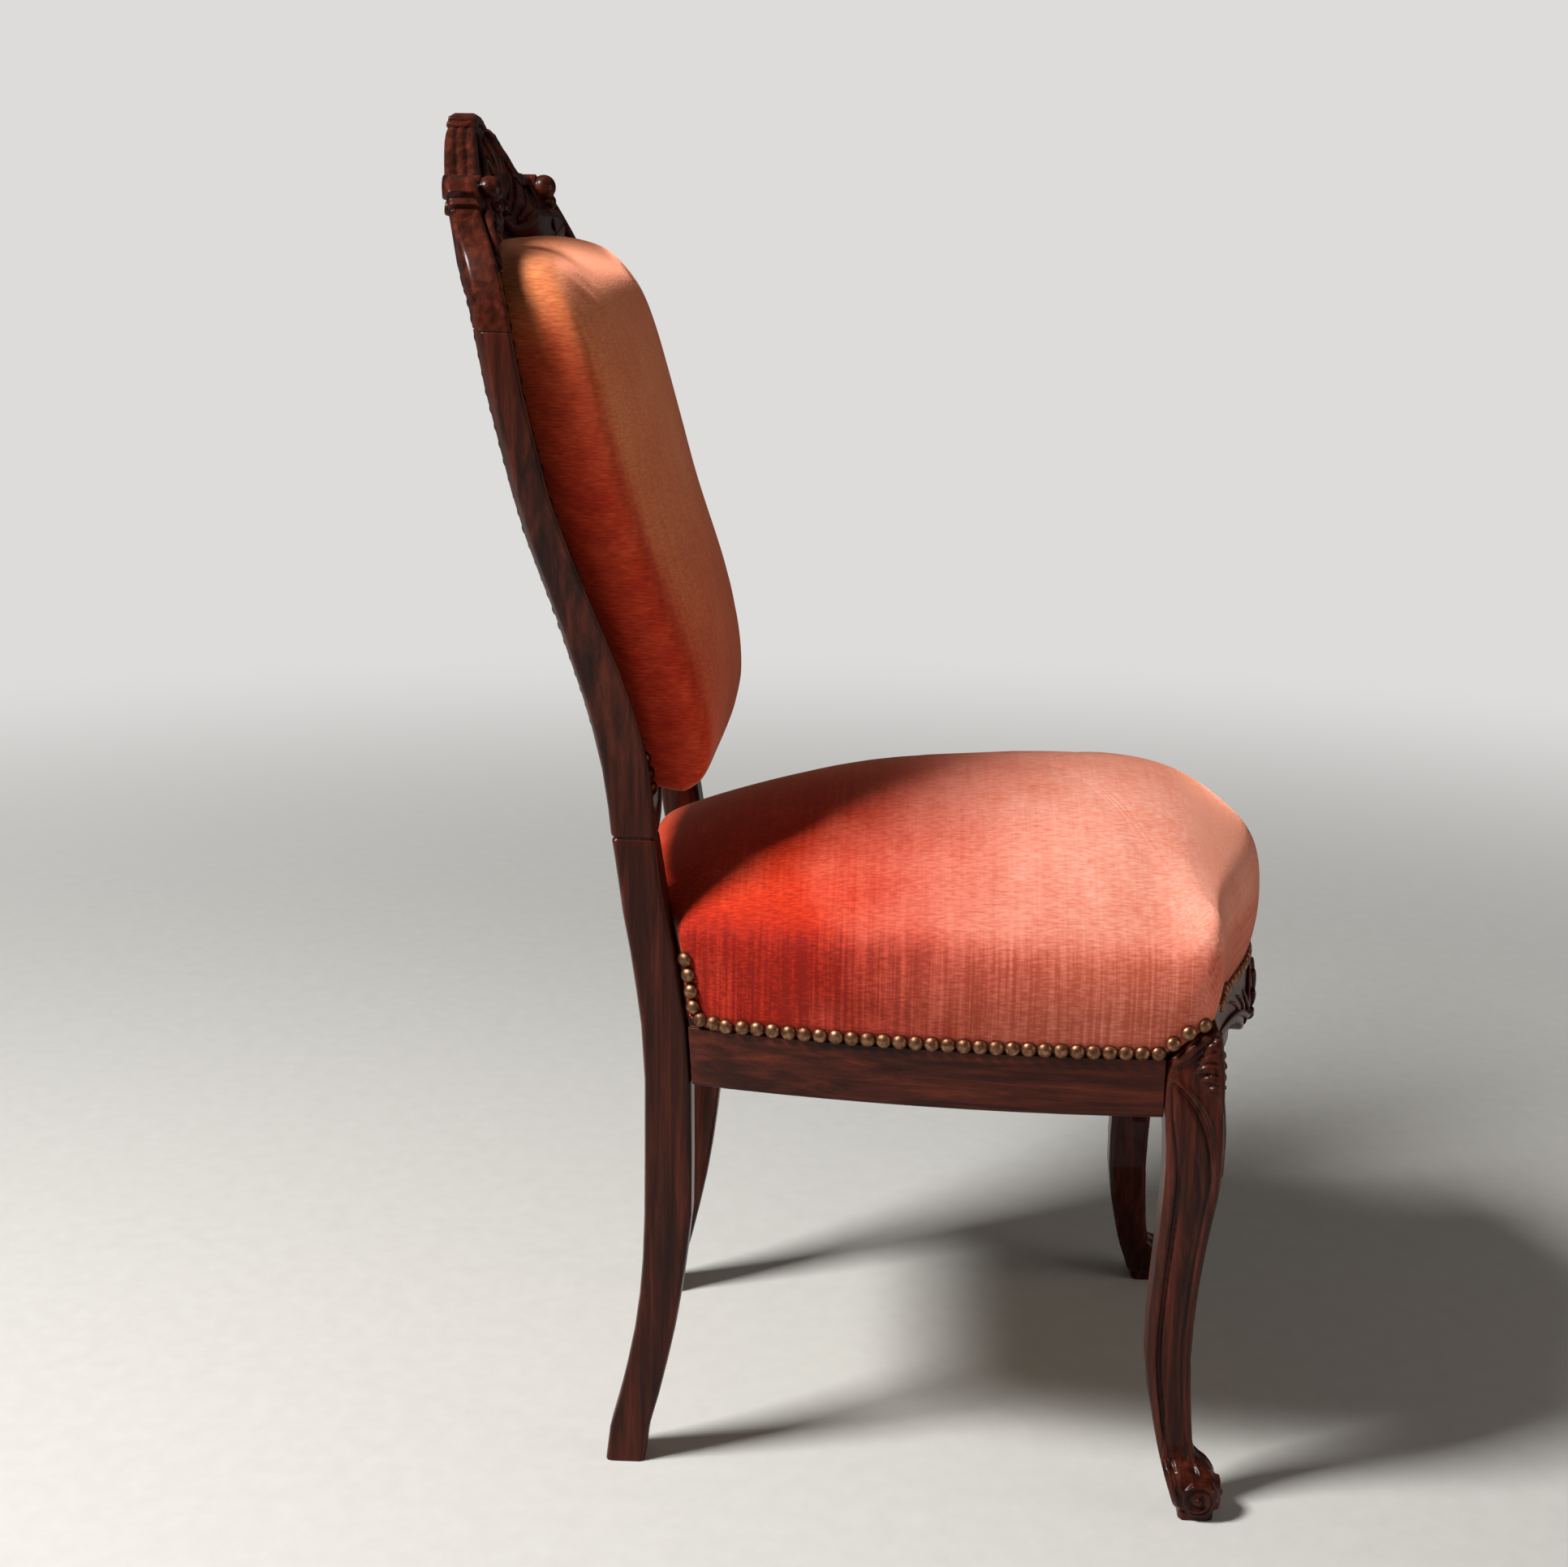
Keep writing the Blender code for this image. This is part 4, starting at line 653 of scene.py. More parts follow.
def makeNailHead(look):
    bpy.ops.mesh.primitive_uv_sphere_add(
        segments=look["sides"], ring_count=look["rings"], radius=look["headWidth"] / 2)
    head = bpy.context.active_object
    upper = {"plane_co": (0, 0, 0), "plane_no": (0, 0, 1), "clear_inner": True, "use_fill": True}
    edited(head, lambda: bpy.ops.mesh.bisect(**upper))
    flatter = 2 * look["headHeight"] / look["headWidth"]
    return edited(head, lambda: bpy.ops.transform.resize(value=(1, 1, flatter)))


def spacedAlong(points, pitch):
    spots = [Vector(p) for p in points]
    lengths = [(b - a).length for a, b in zip(spots, spots[1:])]
    count = max(1, round(sum(lengths) / pitch))
    found = []
    for i in range(count + 1):
        left = sum(lengths) * i / count
        for j, length in enumerate(lengths):
            if left <= length or j == len(lengths) - 1:
                found.append(spots[j].lerp(spots[j + 1], left / length))
                break
            left -= length
    return found


# Where a ray meets the surface within its longest reach, or else what lies nearest its least, and
# the way out
def setOn(surface, spot, aim, sink=0.0002, least=0.0, most=10.0):
    place, normal = surface.ray_cast(spot, aim, most)[:2]
    if place is None:
        place, normal = surface.find_nearest(spot + aim * least)[:2]
    if normal.dot(aim) > 0:
        normal = -normal
    return place - normal * sink, normal


def driveNails(name, head, seats, finish):
    parts = []
    for i, (place, normal) in enumerate(seats):
        part = twinOf(head, name)
        turn = upward.rotation_difference(normal).to_matrix().to_4x4()
        part.data.transform(Matrix.Translation(place) @ turn @ Matrix.Rotation(nailTurn * i, 4, "Z"))
        parts.append(part)
    return dress(joinAll(parts, name), finishes[finish])


def uprighted(seats, look):  # a head lies flat to the rail, though the velvet under it rolls in
    found = []
    for place, normal in seats:
        flat = Vector((normal.x, normal.y, normal.z * look["tilt"])).normalized()
        found.append((place + flat * look["out"], flat))
    return found


def flipX(vector):
    return Vector((-vector.x, vector.y, vector.z))


def mirroredSeats(seats):
    return seats + [(flipX(place), flipX(normal)) for place, normal in seats]


def makeSeatNails(look):
    velvet = surfaceOf(seatPiece)

    def nailed(spots, aim):
        return [setOn(velvet, Vector(spot), aim, **look["reach"]) for spot in spots]

    rightSpots = spacedAlong(look["side"], look["pitch"]) + look["knee"] + look["post"]
    seats = mirroredSeats(nailed(rightSpots, toLeft))
    seats += nailed(spacedAlong(look["front"], look["pitch"]), toRear)
    seats += mirroredSeats([setOn(velvet, Vector(look["corner"]), (toLeft + toRear).normalized())])
    seats += nailed(spacedAlong(look["rear"], look["pitch"]), -toRear)
    return uprighted(seats, look)


nailHead = makeNailHead(domeNail)
seatNailSeats = makeSeatNails(seatNailLook)
driveNails("seatNails", nailHead, seatNailSeats, "antiqueBrassStamped")
print("seat nails driven:", len(seatNailSeats))


# Back cushion's nails stand in the angle between the pad and its ledge
backNailLook = {
    "pitch": 0.0118,
    # half outline of the pad's foot, as (x, z), from the middle of the lower rail up to the crest
    "outline": [(0, 0.5225), (0.03, 0.5205), (0.06, 0.5155), (0.088, 0.508), (0.112, 0.5025),
                (0.134, 0.502), (0.1405, 0.515), (0.1445, 0.56), (0.1555, 0.61), (0.172, 0.67),
                (0.186, 0.73), (0.196, 0.79), (0.1985, 0.825), (0.196, 0.842), (0.186, 0.856),
                (0.169, 0.866), (0.14, 0.871), (0.09, 0.8745), (0, 0.8765)],
    "off": 0.0022, "lean": (0.62, 0.78),  # off the ledge, and the head's way, outward and forward
}


onMiddle = 0.004  # a seat this close to the middle line is kept once


def bothHalves(seats):
    inner = [seat for seat in seats if seat[0].x > onMiddle]
    return mirroredSeats(inner) + [seat for seat in seats if seat[0].x <= onMiddle]


def makeBackNails(look):
    wood = surfaceOf(*[nodes[key] for key in backFrame])
    seats = []
    spots = spacedAlong([(x, 0, z) for x, z in look["outline"]], look["pitch"])
    outward, forward = look["lean"]
    for i, spot in enumerate(spots):
        before, after = spots[max(i - 1, 0)], spots[min(i + 1, len(spots) - 1)]
        run = (after - before).normalized()
        out = Vector((run.z, 0, -run.x))
        ledge = wood.ray_cast(Vector((spot.x, -0.3, spot.z)) + out * 0.0005, toRear)[0]
        if ledge is None:
            ledge = wood.find_nearest(Vector((spot.x, 0.2, spot.z)))[0]
        place = Vector((spot.x, ledge.y - look["off"], spot.z)) + out * 0.0002
        seats.append((place, (out * outward - toRear * forward).normalized()))
    return bothHalves(seats)


backNailSeats = makeBackNails(backNailLook)
driveNails("backNails", nailHead, backNailSeats, "darkBrassStamped")
print("back nails driven:", len(backNailSeats))


# Outside back: one panel of velvet stretched in the frame, nailed round its edge
outsideBack = {"billow": 0.0016, "cuts": 3}
panelNailLook = {
    "pitch": 0.0118,
    "outline": [(0, 0.537), (0.03, 0.535), (0.06, 0.5285), (0.09, 0.5215), (0.108, 0.518),
                (0.1185, 0.5185), (0.1232, 0.526), (0.1275, 0.56), (0.1385, 0.61), (0.155, 0.67),
                (0.169, 0.73), (0.179, 0.79), (0.1815, 0.823), (0.178, 0.837), (0.168, 0.848),
                (0.15, 0.854), (0.1, 0.858), (0, 0.86)],
}


def refine(obj, cuts):
    return edited(obj, lambda: bpy.ops.mesh.subdivide(number_cuts=cuts))


def makeOutsideBack(look):
    obj = refine(copyNode("outside_back_cover", "outsideBackPanel"), look["cuts"])
    points = readPoints(obj)
    low, high = points.min(0), points.max(0)
    across = 1 - (points[:, 0] / high[0]) ** 2
    up = 4 * (points[:, 2] - low[2]) * (high[2] - points[:, 2]) / (high[2] - low[2]) ** 2
    points[:, 1] += look["billow"] * across * up
    writePoints(obj, points)
    return obj


outsidePiece = makeOutsideBack(outsideBack)
panelSurface = surfaceOf(outsidePiece)
panelSpots = spacedAlong([(x, 0.6, z) for x, z in panelNailLook["outline"]], panelNailLook["pitch"])
panelSeats = bothHalves([setOn(panelSurface, spot, -toRear) for spot in panelSpots])
driveNails("panelNails", nailHead, panelSeats, "darkBrassStamped")
bpy.data.objects.remove(nailHead)
print("outside back made, nails:", len(panelSeats))


# Velvet gives a little under every head
puckers = {"depth": 0.0010, "seatReach": 0.0042, "backReach": 0.0050}


def pucker(obj, seats, depth, reach):
    points, normals = readPoints(obj), readNormals(obj)
    for place, _ in seats:
        away = np.linalg.norm(points - np.array(place), axis=1)
        near = away < reach * 3
        points[near] -= normals[near] * (depth * np.exp(-(away[near] / reach) ** 2))[:, None]
    writePoints(obj, points)


pucker(seatPiece, seatNailSeats, puckers["depth"], puckers["seatReach"])
pucker(backPiece, backNailSeats, puckers["depth"], puckers["backReach"])
closeCushion(seatPiece, "seat_stuffing", seatCushion)
closeCushion(backPiece, "back_stuffing", backCushion)
dress(seatPiece, finishes["seatVelvet"])
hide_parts("seat_cover", "seat_stuffing")
dress(backPiece, finishes["backVelvet"])
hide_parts("back_cover", "back_stuffing")
dress(outsidePiece, finishes["backVelvet"])
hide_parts("outside_back_cover")


# Hessians and webbing: the frame's thin solids, closer meshed, with the straps' ends cut back
clothLooks = {
    "springHessian": {"node": "spring_hessian", "flat": (0.40, 0.42), "area": 0.150, "cuts": 2,
                      "rests": seatRails[:2]},
    "backHessian": {"node": "back_hessian", "flat": (0.40, 0.42), "area": 0.135, "cuts": 1,
                    "rests": rearLegs},
}
for name, look in clothLooks.items():
    cloth = refine(copyNode(look["node"], name), look["cuts"])
    dress(cloth, finishes["hessian"])
    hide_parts(look["node"])
# end: how far a strap stops inside the rail's outer edge; nearEnd: what is moved to get it there
strapLook = {"end": 0.010, "width": 0.050, "cuts": 2, "nearEnd": 0.030}
railSearch = {"step": 0.001, "steps": 50, "from": 0.28, "below": 0.300}  # upward, from under the rails
railsBelow = surfaceOf(*[nodes[key] for key in seatRails])


def underWood(spot, inward, inset):  # the first place inward with a rail on it, and a little further
    for step in range(railSearch["steps"]):
        place = spot + inward * (railSearch["step"] * step)
        hit = railsBelow.ray_cast(Vector((place.x, place.y, railSearch["from"])), upward)[0]
        if hit is not None and hit.z < railSearch["below"]:
            return place + inward * inset
    return spot


def trimStrap(strap, axis, low, high):
    inward = Vector((axis == 0, axis == 1, 0))
    for vert in strap.data.vertices:
        for end, way in ((low[axis], inward), (high[axis], -inward)):
            if abs(vert.co[axis] - end) > strapLook["nearEnd"]:
                continue
            spot = vert.co.copy()
            spot[axis] = end
            limit = underWood(spot, way, strapLook["end"])[axis]
            vert.co[axis] = max(vert.co[axis], limit) if way[axis] > 0 else min(vert.co[axis], limit)
    strap.data.update()


straps = [("long", i, 1, seatRails[2:]) for i in (1, 2, 3)]
straps += [("cross", i, 0, seatRails[:2]) for i in (1, 2, 3)]
for way, i, axis, rails in straps:
    node = f"webbing_{way}_{i}"
    strap = refine(copyNode(node, f"{way}Webbing{i}"), strapLook["cuts"])
    low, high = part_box(node)
    trimStrap(strap, axis, low, high)
    dress(strap, finishes["webbing"])
    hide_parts(node)
print("hessians and webbing made")


def drawTube(points, kind, width):  # points as (place, radius); width is the curve's own
    bpy.ops.curve.primitive_nurbs_path_add()
    obj = bpy.context.active_object
    line = obj.data
    line.splines.clear()
    spline = line.splines.new(kind)
    spline.points.add(len(points) - 1)
    for point, (place, radius) in zip(spline.points, points):
        point.co = (*place, 1.0)
        point.radius = radius / width
    spline.order_u = min(4, len(points))
    spline.use_endpoint_u = True
    spline.resolution_u = 6
    line.bevel_depth = width
    line.bevel_resolution = 3
    line.use_fill_caps = True
    pick(obj)
    bpy.ops.object.convert(target="MESH")
    return placeInMesh(bpy.context.active_object)


# Hourglass springs, drawn smoother than the frame's
coilSpring = {
    "wire": 0.0019, "end": 0.034, "waist": 0.022, "turns": 4.5, "pointsATurn": 24,
    "middle": (0, -0.0595), "apart": 0.072,
    "ways": {1: (-1, -1), 2: (1, -1), 3: (-1, 1), 4: (1, 1), 5: (0, 0)},
}


def makeSpring(i, look):
    low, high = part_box(f"seat_spring_{i}")
    across, deep = look["ways"][i]
    x, y = look["middle"][0] + across * look["apart"], look["middle"][1] + deep * look["apart"]
    heading = math.atan2(deep or 1, across or 1)
    total = int(look["turns"] * look["pointsATurn"])
    foot, rise = low.z + look["wire"], high.z - low.z - 2 * look["wire"]
    points = []
    for j in range(total + 1):
        share = j / total
        angle = heading + 2 * math.pi * j / look["pointsATurn"]
        lift = 0.55 * share + 0.45 * (0.5 - 0.5 * math.cos(math.pi * share))
        radius = look["end"] + (look["waist"] - look["end"]) * math.sin(math.pi * share) ** 1.5
        place = (x + radius * math.cos(angle), y + radius * math.sin(angle), foot + rise * lift)
        points.append((place, look["wire"]))
    coil = drawTube(points, "POLY", look["wire"])
    coil.name = f"seatSpring{i}"
    dress(coil, finishes["copperedSpringWire"])
    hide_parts(f"seat_spring_{i}")


for i in coilSpring["ways"]:
    makeSpring(i, coilSpring)
print("springs made")


# Carving: each stroke is a tapered roll laid on the wood, and the strokes are fused into one

def stroke(points):  # points as (place, radius)
    return drawTube(points, "NURBS", 0.001)


def bothStrokes(points):
    return [stroke(points), stroke([(flipX(place), radius) for place, radius in points])]


def boss(place, radius):
    bpy.ops.mesh.primitive_uv_sphere_add(segments=20, ring_count=12, radius=radius, location=place)
    return placeInMesh(bpy.context.active_object)


def eased(obj, times):
    return shaped(obj, "SMOOTH", factor=0.5, iterations=times)


def fuseCarving(parts, name, voxel, finish, times=3):
    obj = joinAll(parts, name)
    obj.data.remesh_voxel_size = voxel
    obj.data.remesh_voxel_adaptivity = 0.0
    bpy.ops.object.voxel_remesh()
    return dress(eased(obj, times), finishes[finish])


grooveStep = 0.0005


def cutGrooves(obj, lines, depth, width):
    spots = [spot for line in lines for spot in spacedAlong(line, grooveStep)]
    tree = KDTree(len(spots))
    for i, spot in enumerate(spots):
        tree.insert(spot, i)
    tree.balance()
    points, normals = readPoints(obj), readNormals(obj)
    away = np.array([tree.find(point)[2] for point in points])
    points -= normals * (depth * np.exp(-(away / width) ** 2))[:, None]
    writePoints(obj, points)


def laid(surface, spots, aim, lift):  # spots as (x, y, z, radius), brought to the wood along the aim
    found = []
    for x, y, z, radius in spots:
        place, normal = setOn(surface, Vector((x, y, z)), aim, sink=0)
        found.append((place + normal * lift * radius, radius))
    return found


def shellStrokes(wood, look, y):  # a fan of ribs about its foot, the outer ones shorter
    parts = []
    footX, footZ = look["foot"]
    for i in range(look["ribs"]):
        share = 2 * i / (look["ribs"] - 1) - 1
        angle = math.radians(look["spread"] * share)
        reach = look["reach"] * (1 - look["shorter"] * share ** 2)
        spots = []
        for way, radius in look["swell"]:
            far = reach * way
            spots.append((footX + far * math.sin(angle), y, footZ + far * math.cos(angle), radius))
        parts.append(stroke(laid(wood, spots, toRear, look["lift"])))
    return parts


def leafStrokes(wood, lines, y, lift):  # lines of (x, z, radius in mm)
    parts = []
    for line in lines:
        spots = [(x, y, z, radius / 1000) for x, z, radius in line]
        parts += bothStrokes(laid(wood, spots, toRear, lift))
    return parts


# Crest: a shell in the middle, scrolls and leaves running out to the two rolled knobs
crestCarving = {
    "voxel": 0.0011,
    "shell": {"foot": (0.0, 0.9010), "reach": 0.050, "ribs": 7, "spread": 62, "shorter": 0.30, "lift": 0.25,
              "swell": ((0.1, 0.0016), (0.4, 0.0036), (0.75, 0.0050), (1.0, 0.0030))},
    "scrolls": [
        [(0.010, 0.893, 3.2), (0.030, 0.884, 3.8), (0.055, 0.882, 4.0), (0.080, 0.889, 3.8),
         (0.102, 0.901, 3.4), (0.117, 0.9125, 3.0)],
        [(0.034, 0.950, 2.0), (0.044, 0.938, 3.0), (0.058, 0.926, 3.4), (0.076, 0.9165, 3.2),
         (0.094, 0.914, 2.6), (0.106, 0.919, 1.6)],
        [(0.143, 0.906, 2.0), (0.160, 0.904, 3.0), (0.178, 0.895, 3.2), (0.192, 0.880, 2.8),
         (0.203, 0.860, 2.0), (0.209, 0.838, 1.0)],
    ],
    "leaves": [
        [(0.028, 0.900, 1.6), (0.036, 0.910, 3.2), (0.042, 0.922, 2.6), (0.044, 0.932, 0.8)],
        [(0.036, 0.894, 1.6), (0.048, 0.903, 3.2), (0.057, 0.914, 2.6), (0.062, 0.922, 0.8)],
        [(0.052, 0.890, 1.6), (0.064, 0.898, 3.2), (0.074, 0.906, 2.4), (0.082, 0.912, 0.8)],
        [(0.068, 0.890, 1.4), (0.080, 0.896, 2.8), (0.092, 0.903, 2.2), (0.101, 0.909, 0.8)],
        [(0.020, 0.880, 1.4), (0.034, 0.8755, 2.4), (0.050, 0.8745, 2.0), (0.064, 0.877, 0.7)],
        [(0.150, 0.897, 1.4), (0.160, 0.890, 2.4), (0.168, 0.880, 1.8), (0.173, 0.872, 0.7)],
        [(0.165, 0.893, 1.4), (0.176, 0.883, 2.4), (0.184, 0.871, 1.8), (0.188, 0.861, 0.7)],
        [(0.120, 0.898, 1.4), (0.128, 0.890, 2.4), (0.138, 0.883, 1.8), (0.148, 0.879, 0.7)],
    ],
    # rolls across the crest's thickness: x, z, radius, front and rear y
    "rolls": [(0.1305, 0.9136, 0.0091, 0.2520, 0.2885), (0.1450, 0.9010, 0.0060, 0.2560, 0.2850),
              (0.0172, 0.9605, 0.0031, 0.2850, 0.3045), (0.0245, 0.9568, 0.0031, 0.2850, 0.3045)],
    "rollLean": -0.10,
    "eyes": [(0.1305, 0.2575, 0.9130, 0.0094), (0.1305, 0.2535, 0.9022, 0.0056),
             (0.0, 0.2700, 0.8990, 0.0070)],
    "edgeBands": {"from": 0.112, "to": 0.034, "points": 14, "across": (0.24, 0.32, 81), "nearTop": 0.004,
                  "shares": (0.18, 0.50, 0.82), "radius": 0.0038, "lift": -0.45},
    "lift": 0.35,
}


def sidesOf(x):  # what stands on the middle line is made once
    return (1, -1) if x else (1,)


def crestRolls(look):
    parts = []
    for x, z, radius, front, rear in look["rolls"]:
        ends = [(front, 0.45), (front + 0.002, 0.86), (front + 0.006, 1.0), (rear - 0.003, 1.0), (rear, 0.8)]
        for side in sidesOf(x):
            points = []
            for y, share in ends:
                height = z + look["rollLean"] * (rear - y)
                points.append((Vector((side * x, y, height)), radius * share))
            parts.append(stroke(points))
    return parts


def crestEdgeLine(wood, look, share):  # along the crest's upper edge, at a share of its thickness
    line = []
    across = np.linspace(*look["across"])
    for x in np.linspace(look["from"], look["to"], look["points"]):
        rays = [wood.ray_cast(Vector((x, y, 1.1)), -upward)[0] for y in across]
        hits = [hit for hit in rays if hit is not None]
        top = max(hit.z for hit in hits)
        edge = [hit.y for hit in hits if hit.z > top - look["nearTop"]]
        y = edge[-1] + (edge[0] - edge[-1]) * share
        line.append((Vector((x, y, top + look["radius"] * look["lift"])), look["radius"]))
    return line


def makeCrestCarving(look):
    wood = surfaceOf(nodes["crest_rail"])
    parts = shellStrokes(wood, look["shell"], 0.0)
    parts += leafStrokes(wood, look["scrolls"] + look["leaves"], 0.0, look["lift"])
    parts += crestRolls(look)
    for x, y, z, radius in look["eyes"]:
        parts += [boss((side * x, y, z), radius) for side in sidesOf(x)]
    for share in look["edgeBands"]["shares"]:
        parts += bothStrokes(crestEdgeLine(wood, look["edgeBands"], share))
    return fuseCarving(parts, "crestCarving", look["voxel"], "woodX")


makeCrestCarving(crestCarving)
print("crest carved")


# Front legs: grooved panels under an arched bead, a carved knee and a scrolled foot. All of it is
# given on the right leg's outer side and mirrored about the leg's diagonal to its front.
legCarving = {
    "voxel": 0.0009, "smoothing": (8, 2),  # before the grooves and after them
    # grooves as (y, z), from the knee down
    "rearGroove": [(-0.219, 0.32), (-0.22, 0.3), (-0.2235, 0.279), (-0.2262, 0.254), (-0.225, 0.216),
                   (-0.2225, 0.178), (-0.2202, 0.128), (-0.221, 0.102), (-0.2258, 0.0635),
                   (-0.2318, 0.04), (-0.2352, 0.03)],
    "frontGroove": [(-0.2195, 0.3225), (-0.224, 0.319), (-0.23, 0.313), (-0.2355, 0.305), (-0.2402, 0.296),
                    (-0.244, 0.286), (-0.2468, 0.274), (-0.2482, 0.254), (-0.2436, 0.216), (-0.24, 0.178),
                    (-0.2367, 0.128), (-0.237, 0.102), (-0.2398, 0.0635), (-0.2455, 0.043), (-0.249, 0.035)],
    "groove": (0.0019, 0.0015),  # depth and half width
    # strokes as (y, z, radius in mm), and how far each kind is lifted off the wood, in radii
    "archBead": [(-0.216, 0.3285, 0.9), (-0.2225, 0.325, 1.4), (-0.2293, 0.3192, 1.6), (-0.2351, 0.3122, 1.7),
                 (-0.2411, 0.3043, 1.7), (-0.2452, 0.2955, 1.6), (-0.2484, 0.285, 1.5), (-0.2508, 0.272, 1.3),
                 (-0.252, 0.256, 0.8)],
    "ear": [(-0.2185, 0.335, 1.2), (-0.2226, 0.3385, 2.8), (-0.2279, 0.3436, 4), (-0.2331, 0.3492, 4.2),
            (-0.2384, 0.354, 3.6), (-0.2424, 0.3568, 2.6)],
    "lobes": [
        [(-0.24, 0.345, 1.6), (-0.2425, 0.349, 3), (-0.2465, 0.352, 4), (-0.25, 0.351, 3.6)],
        [(-0.2375, 0.3385, 1.4), (-0.2405, 0.3415, 2.8), (-0.2445, 0.344, 4), (-0.2485, 0.3425, 3.8)],
        [(-0.235, 0.331, 1.6), (-0.2385, 0.3345, 3), (-0.2425, 0.3365, 3.8), (-0.248, 0.3345, 3.8)],
        [(-0.2395, 0.326, 1.6), (-0.2425, 0.3285, 3), (-0.2465, 0.3285, 3.6), (-0.25, 0.326, 3)],
        [(-0.244, 0.3195, 1.2), (-0.2465, 0.3215, 2.4), (-0.2495, 0.32, 2.8)],
    ],
    "lifts": {"archBead": 0.35, "ear": 0.10, "lobes": 0.15, "spine": 0.2},
    "spine": [(0.356, 3), (0.344, 3.4), (0.332, 3.2), (0.32, 2.6), (0.31, 1.8), (0.302, 0.9)],
    "footMiddle": (-0.2215, -0.2508, 0.0172), "eye": (-0.0008, 0.0032),
    "drum": [(-0.0012, 0.90), (0.0002, 1.0), (0.014, 1.0)], "drumRadius": 0.0135,
    # spiral: degrees from the rear, turning down and forward, and its reach in mm
    "spiral": [(-35, 18.5), (-10, 13.4), (20, 12), (90, 10.9), (180, 9.7), (270, 8.2), (360, 6.7),
               (450, 5.3), (540, 4.3), (610, 4)],
    "spiralGroove": (0.0022, 0.0014),
}
legDiagonal = (-0.193, -0.2375)  # a point that the leg's outer and front faces are equally far from


def acrossDiagonal(point):
    dx, dy = point[0] - legDiagonal[0], point[1] - legDiagonal[1]
    return Vector((legDiagonal[0] + dy, legDiagonal[1] + dx, point[2]))


def spiralLine(look):
    y, z = look["footMiddle"][1:]
    steps = np.arange(look["spiral"][0][0], look["spiral"][-1][0] + 1, 8)
    reaches = np.interp(steps, *zip(*look["spiral"])) / 1000
    turns = np.radians(steps)
    return [(y + reach * math.cos(turn), z - reach * math.sin(turn)) for turn, reach in zip(turns, reaches)]


def onBothFaces(points):
    return [points, [(acrossDiagonal(place), radius) for place, radius in points]]


def legStrokes(look):
    wood = surfaceOf(nodes["front_leg_right"])
    lines = [(look[key], look["lifts"][key]) for key in ("archBead", "ear")]
    lines += [(lobe, look["lifts"]["lobes"]) for lobe in look["lobes"]]
    parts = []
    for line, lift in lines:
        spots = laid(wood, [(-0.5, y, z, radius / 1000) for y, z, radius in line], toLeft, lift)
        parts += [stroke(points) for points in onBothFaces(spots)]
    outside = [middle - 0.3 for middle in legDiagonal]
    spine = laid(
        wood, [(*outside, z, radius / 1000) for z, radius in look["spine"]],
        (toLeft + toRear).normalized(), look["lifts"]["spine"])
    return parts + [stroke(spine)]


def footScroll(look):
    middle = Vector(look["footMiddle"])
    drum = [(middle + toLeft * x, look["drumRadius"] * share) for x, share in look["drum"]]
    parts = [stroke(points) for points in onBothFaces(drum)]
    out, radius = look["eye"]
    eye = middle + toLeft * out
    return parts + [boss(place, radius) for place in (eye, acrossDiagonal(eye))]


def makeFrontLeg(name, look):
    parts = [copyNode("front_leg_right", "legWood")] + legStrokes(look) + footScroll(look)
    before, after = look["smoothing"]
    obj = fuseCarving(parts, name, look["voxel"], "woodZ", before)
    carved = surfaceOf(obj)
    cuts = [(look["rearGroove"], "groove"), (look["frontGroove"], "groove")]
    for line, cut in cuts + [(spiralLine(look), "spiralGroove")]:
        places = [setOn(carved, Vector((-0.5, y, z)), toLeft, sink=0)[0] for y, z in line]
        cutGrooves(obj, [places, [acrossDiagonal(place) for place in places]], *look[cut])
    return eased(obj, after)


def mirroredCopy(obj, name):
    twin = twinOf(obj, name)
    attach(twin, "root")
    points = readPoints(twin)
    points[:, 0] *= -1
    writePoints(twin, points)
    return edited(twin, lambda: bpy.ops.mesh.normals_make_consistent(inside=False))


rightLeg = makeFrontLeg("carvedFrontLegRight", legCarving)
leftLeg = mirroredCopy(rightLeg, "carvedFrontLegLeft")
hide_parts("front_leg_right")
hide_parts("front_leg_left")
print("front legs carved")


# Front rail: a shell with a spray of leaves to each side
railCarving = {
    "voxel": 0.0008,
    "shell": {"foot": (0.0, 0.3080), "reach": 0.044, "ribs": 7, "spread": 66, "shorter": 0.36, "lift": 0.2,
              "swell": ((0.1, 0.0014), (0.45, 0.0030), (0.8, 0.0040), (1.0, 0.0026))},
    "boss": 0.0050, "lift": 0.3,
    "leaves": [
        [(0.012, 0.3100, 1.6), (0.032, 0.3170, 3.0), (0.055, 0.3270, 3.0), (0.080, 0.3340, 2.4),
         (0.105, 0.3360, 1.4), (0.125, 0.3340, 0.7)],
        [(0.022, 0.3160, 1.2), (0.036, 0.3280, 2.6), (0.046, 0.3370, 2.2), (0.054, 0.3430, 0.8)],
        [(0.042, 0.3240, 1.2), (0.056, 0.3350, 2.4), (0.068, 0.3425, 2.0), (0.078, 0.3465, 0.7)],
        [(0.064, 0.3310, 1.0), (0.078, 0.3400, 2.0), (0.090, 0.3455, 1.6), (0.100, 0.3480, 0.6)],
    ],
}


def makeRailCarving(look):
    wood = surfaceOf(nodes["front_rail"])
    parts = shellStrokes(wood, look["shell"], -0.5)
    parts += leafStrokes(wood, look["leaves"], -0.5, look["lift"])
    foot = [(look["shell"]["foot"][0], -0.5, look["shell"]["foot"][1], look["boss"])]
    [(place, radius)] = laid(wood, foot, toRear, look["shell"]["lift"])
    return fuseCarving(parts + [boss(place, radius)], "frontRailCarving", look["voxel"], "woodX")


makeRailCarving(railCarving)
print("front rail carved")


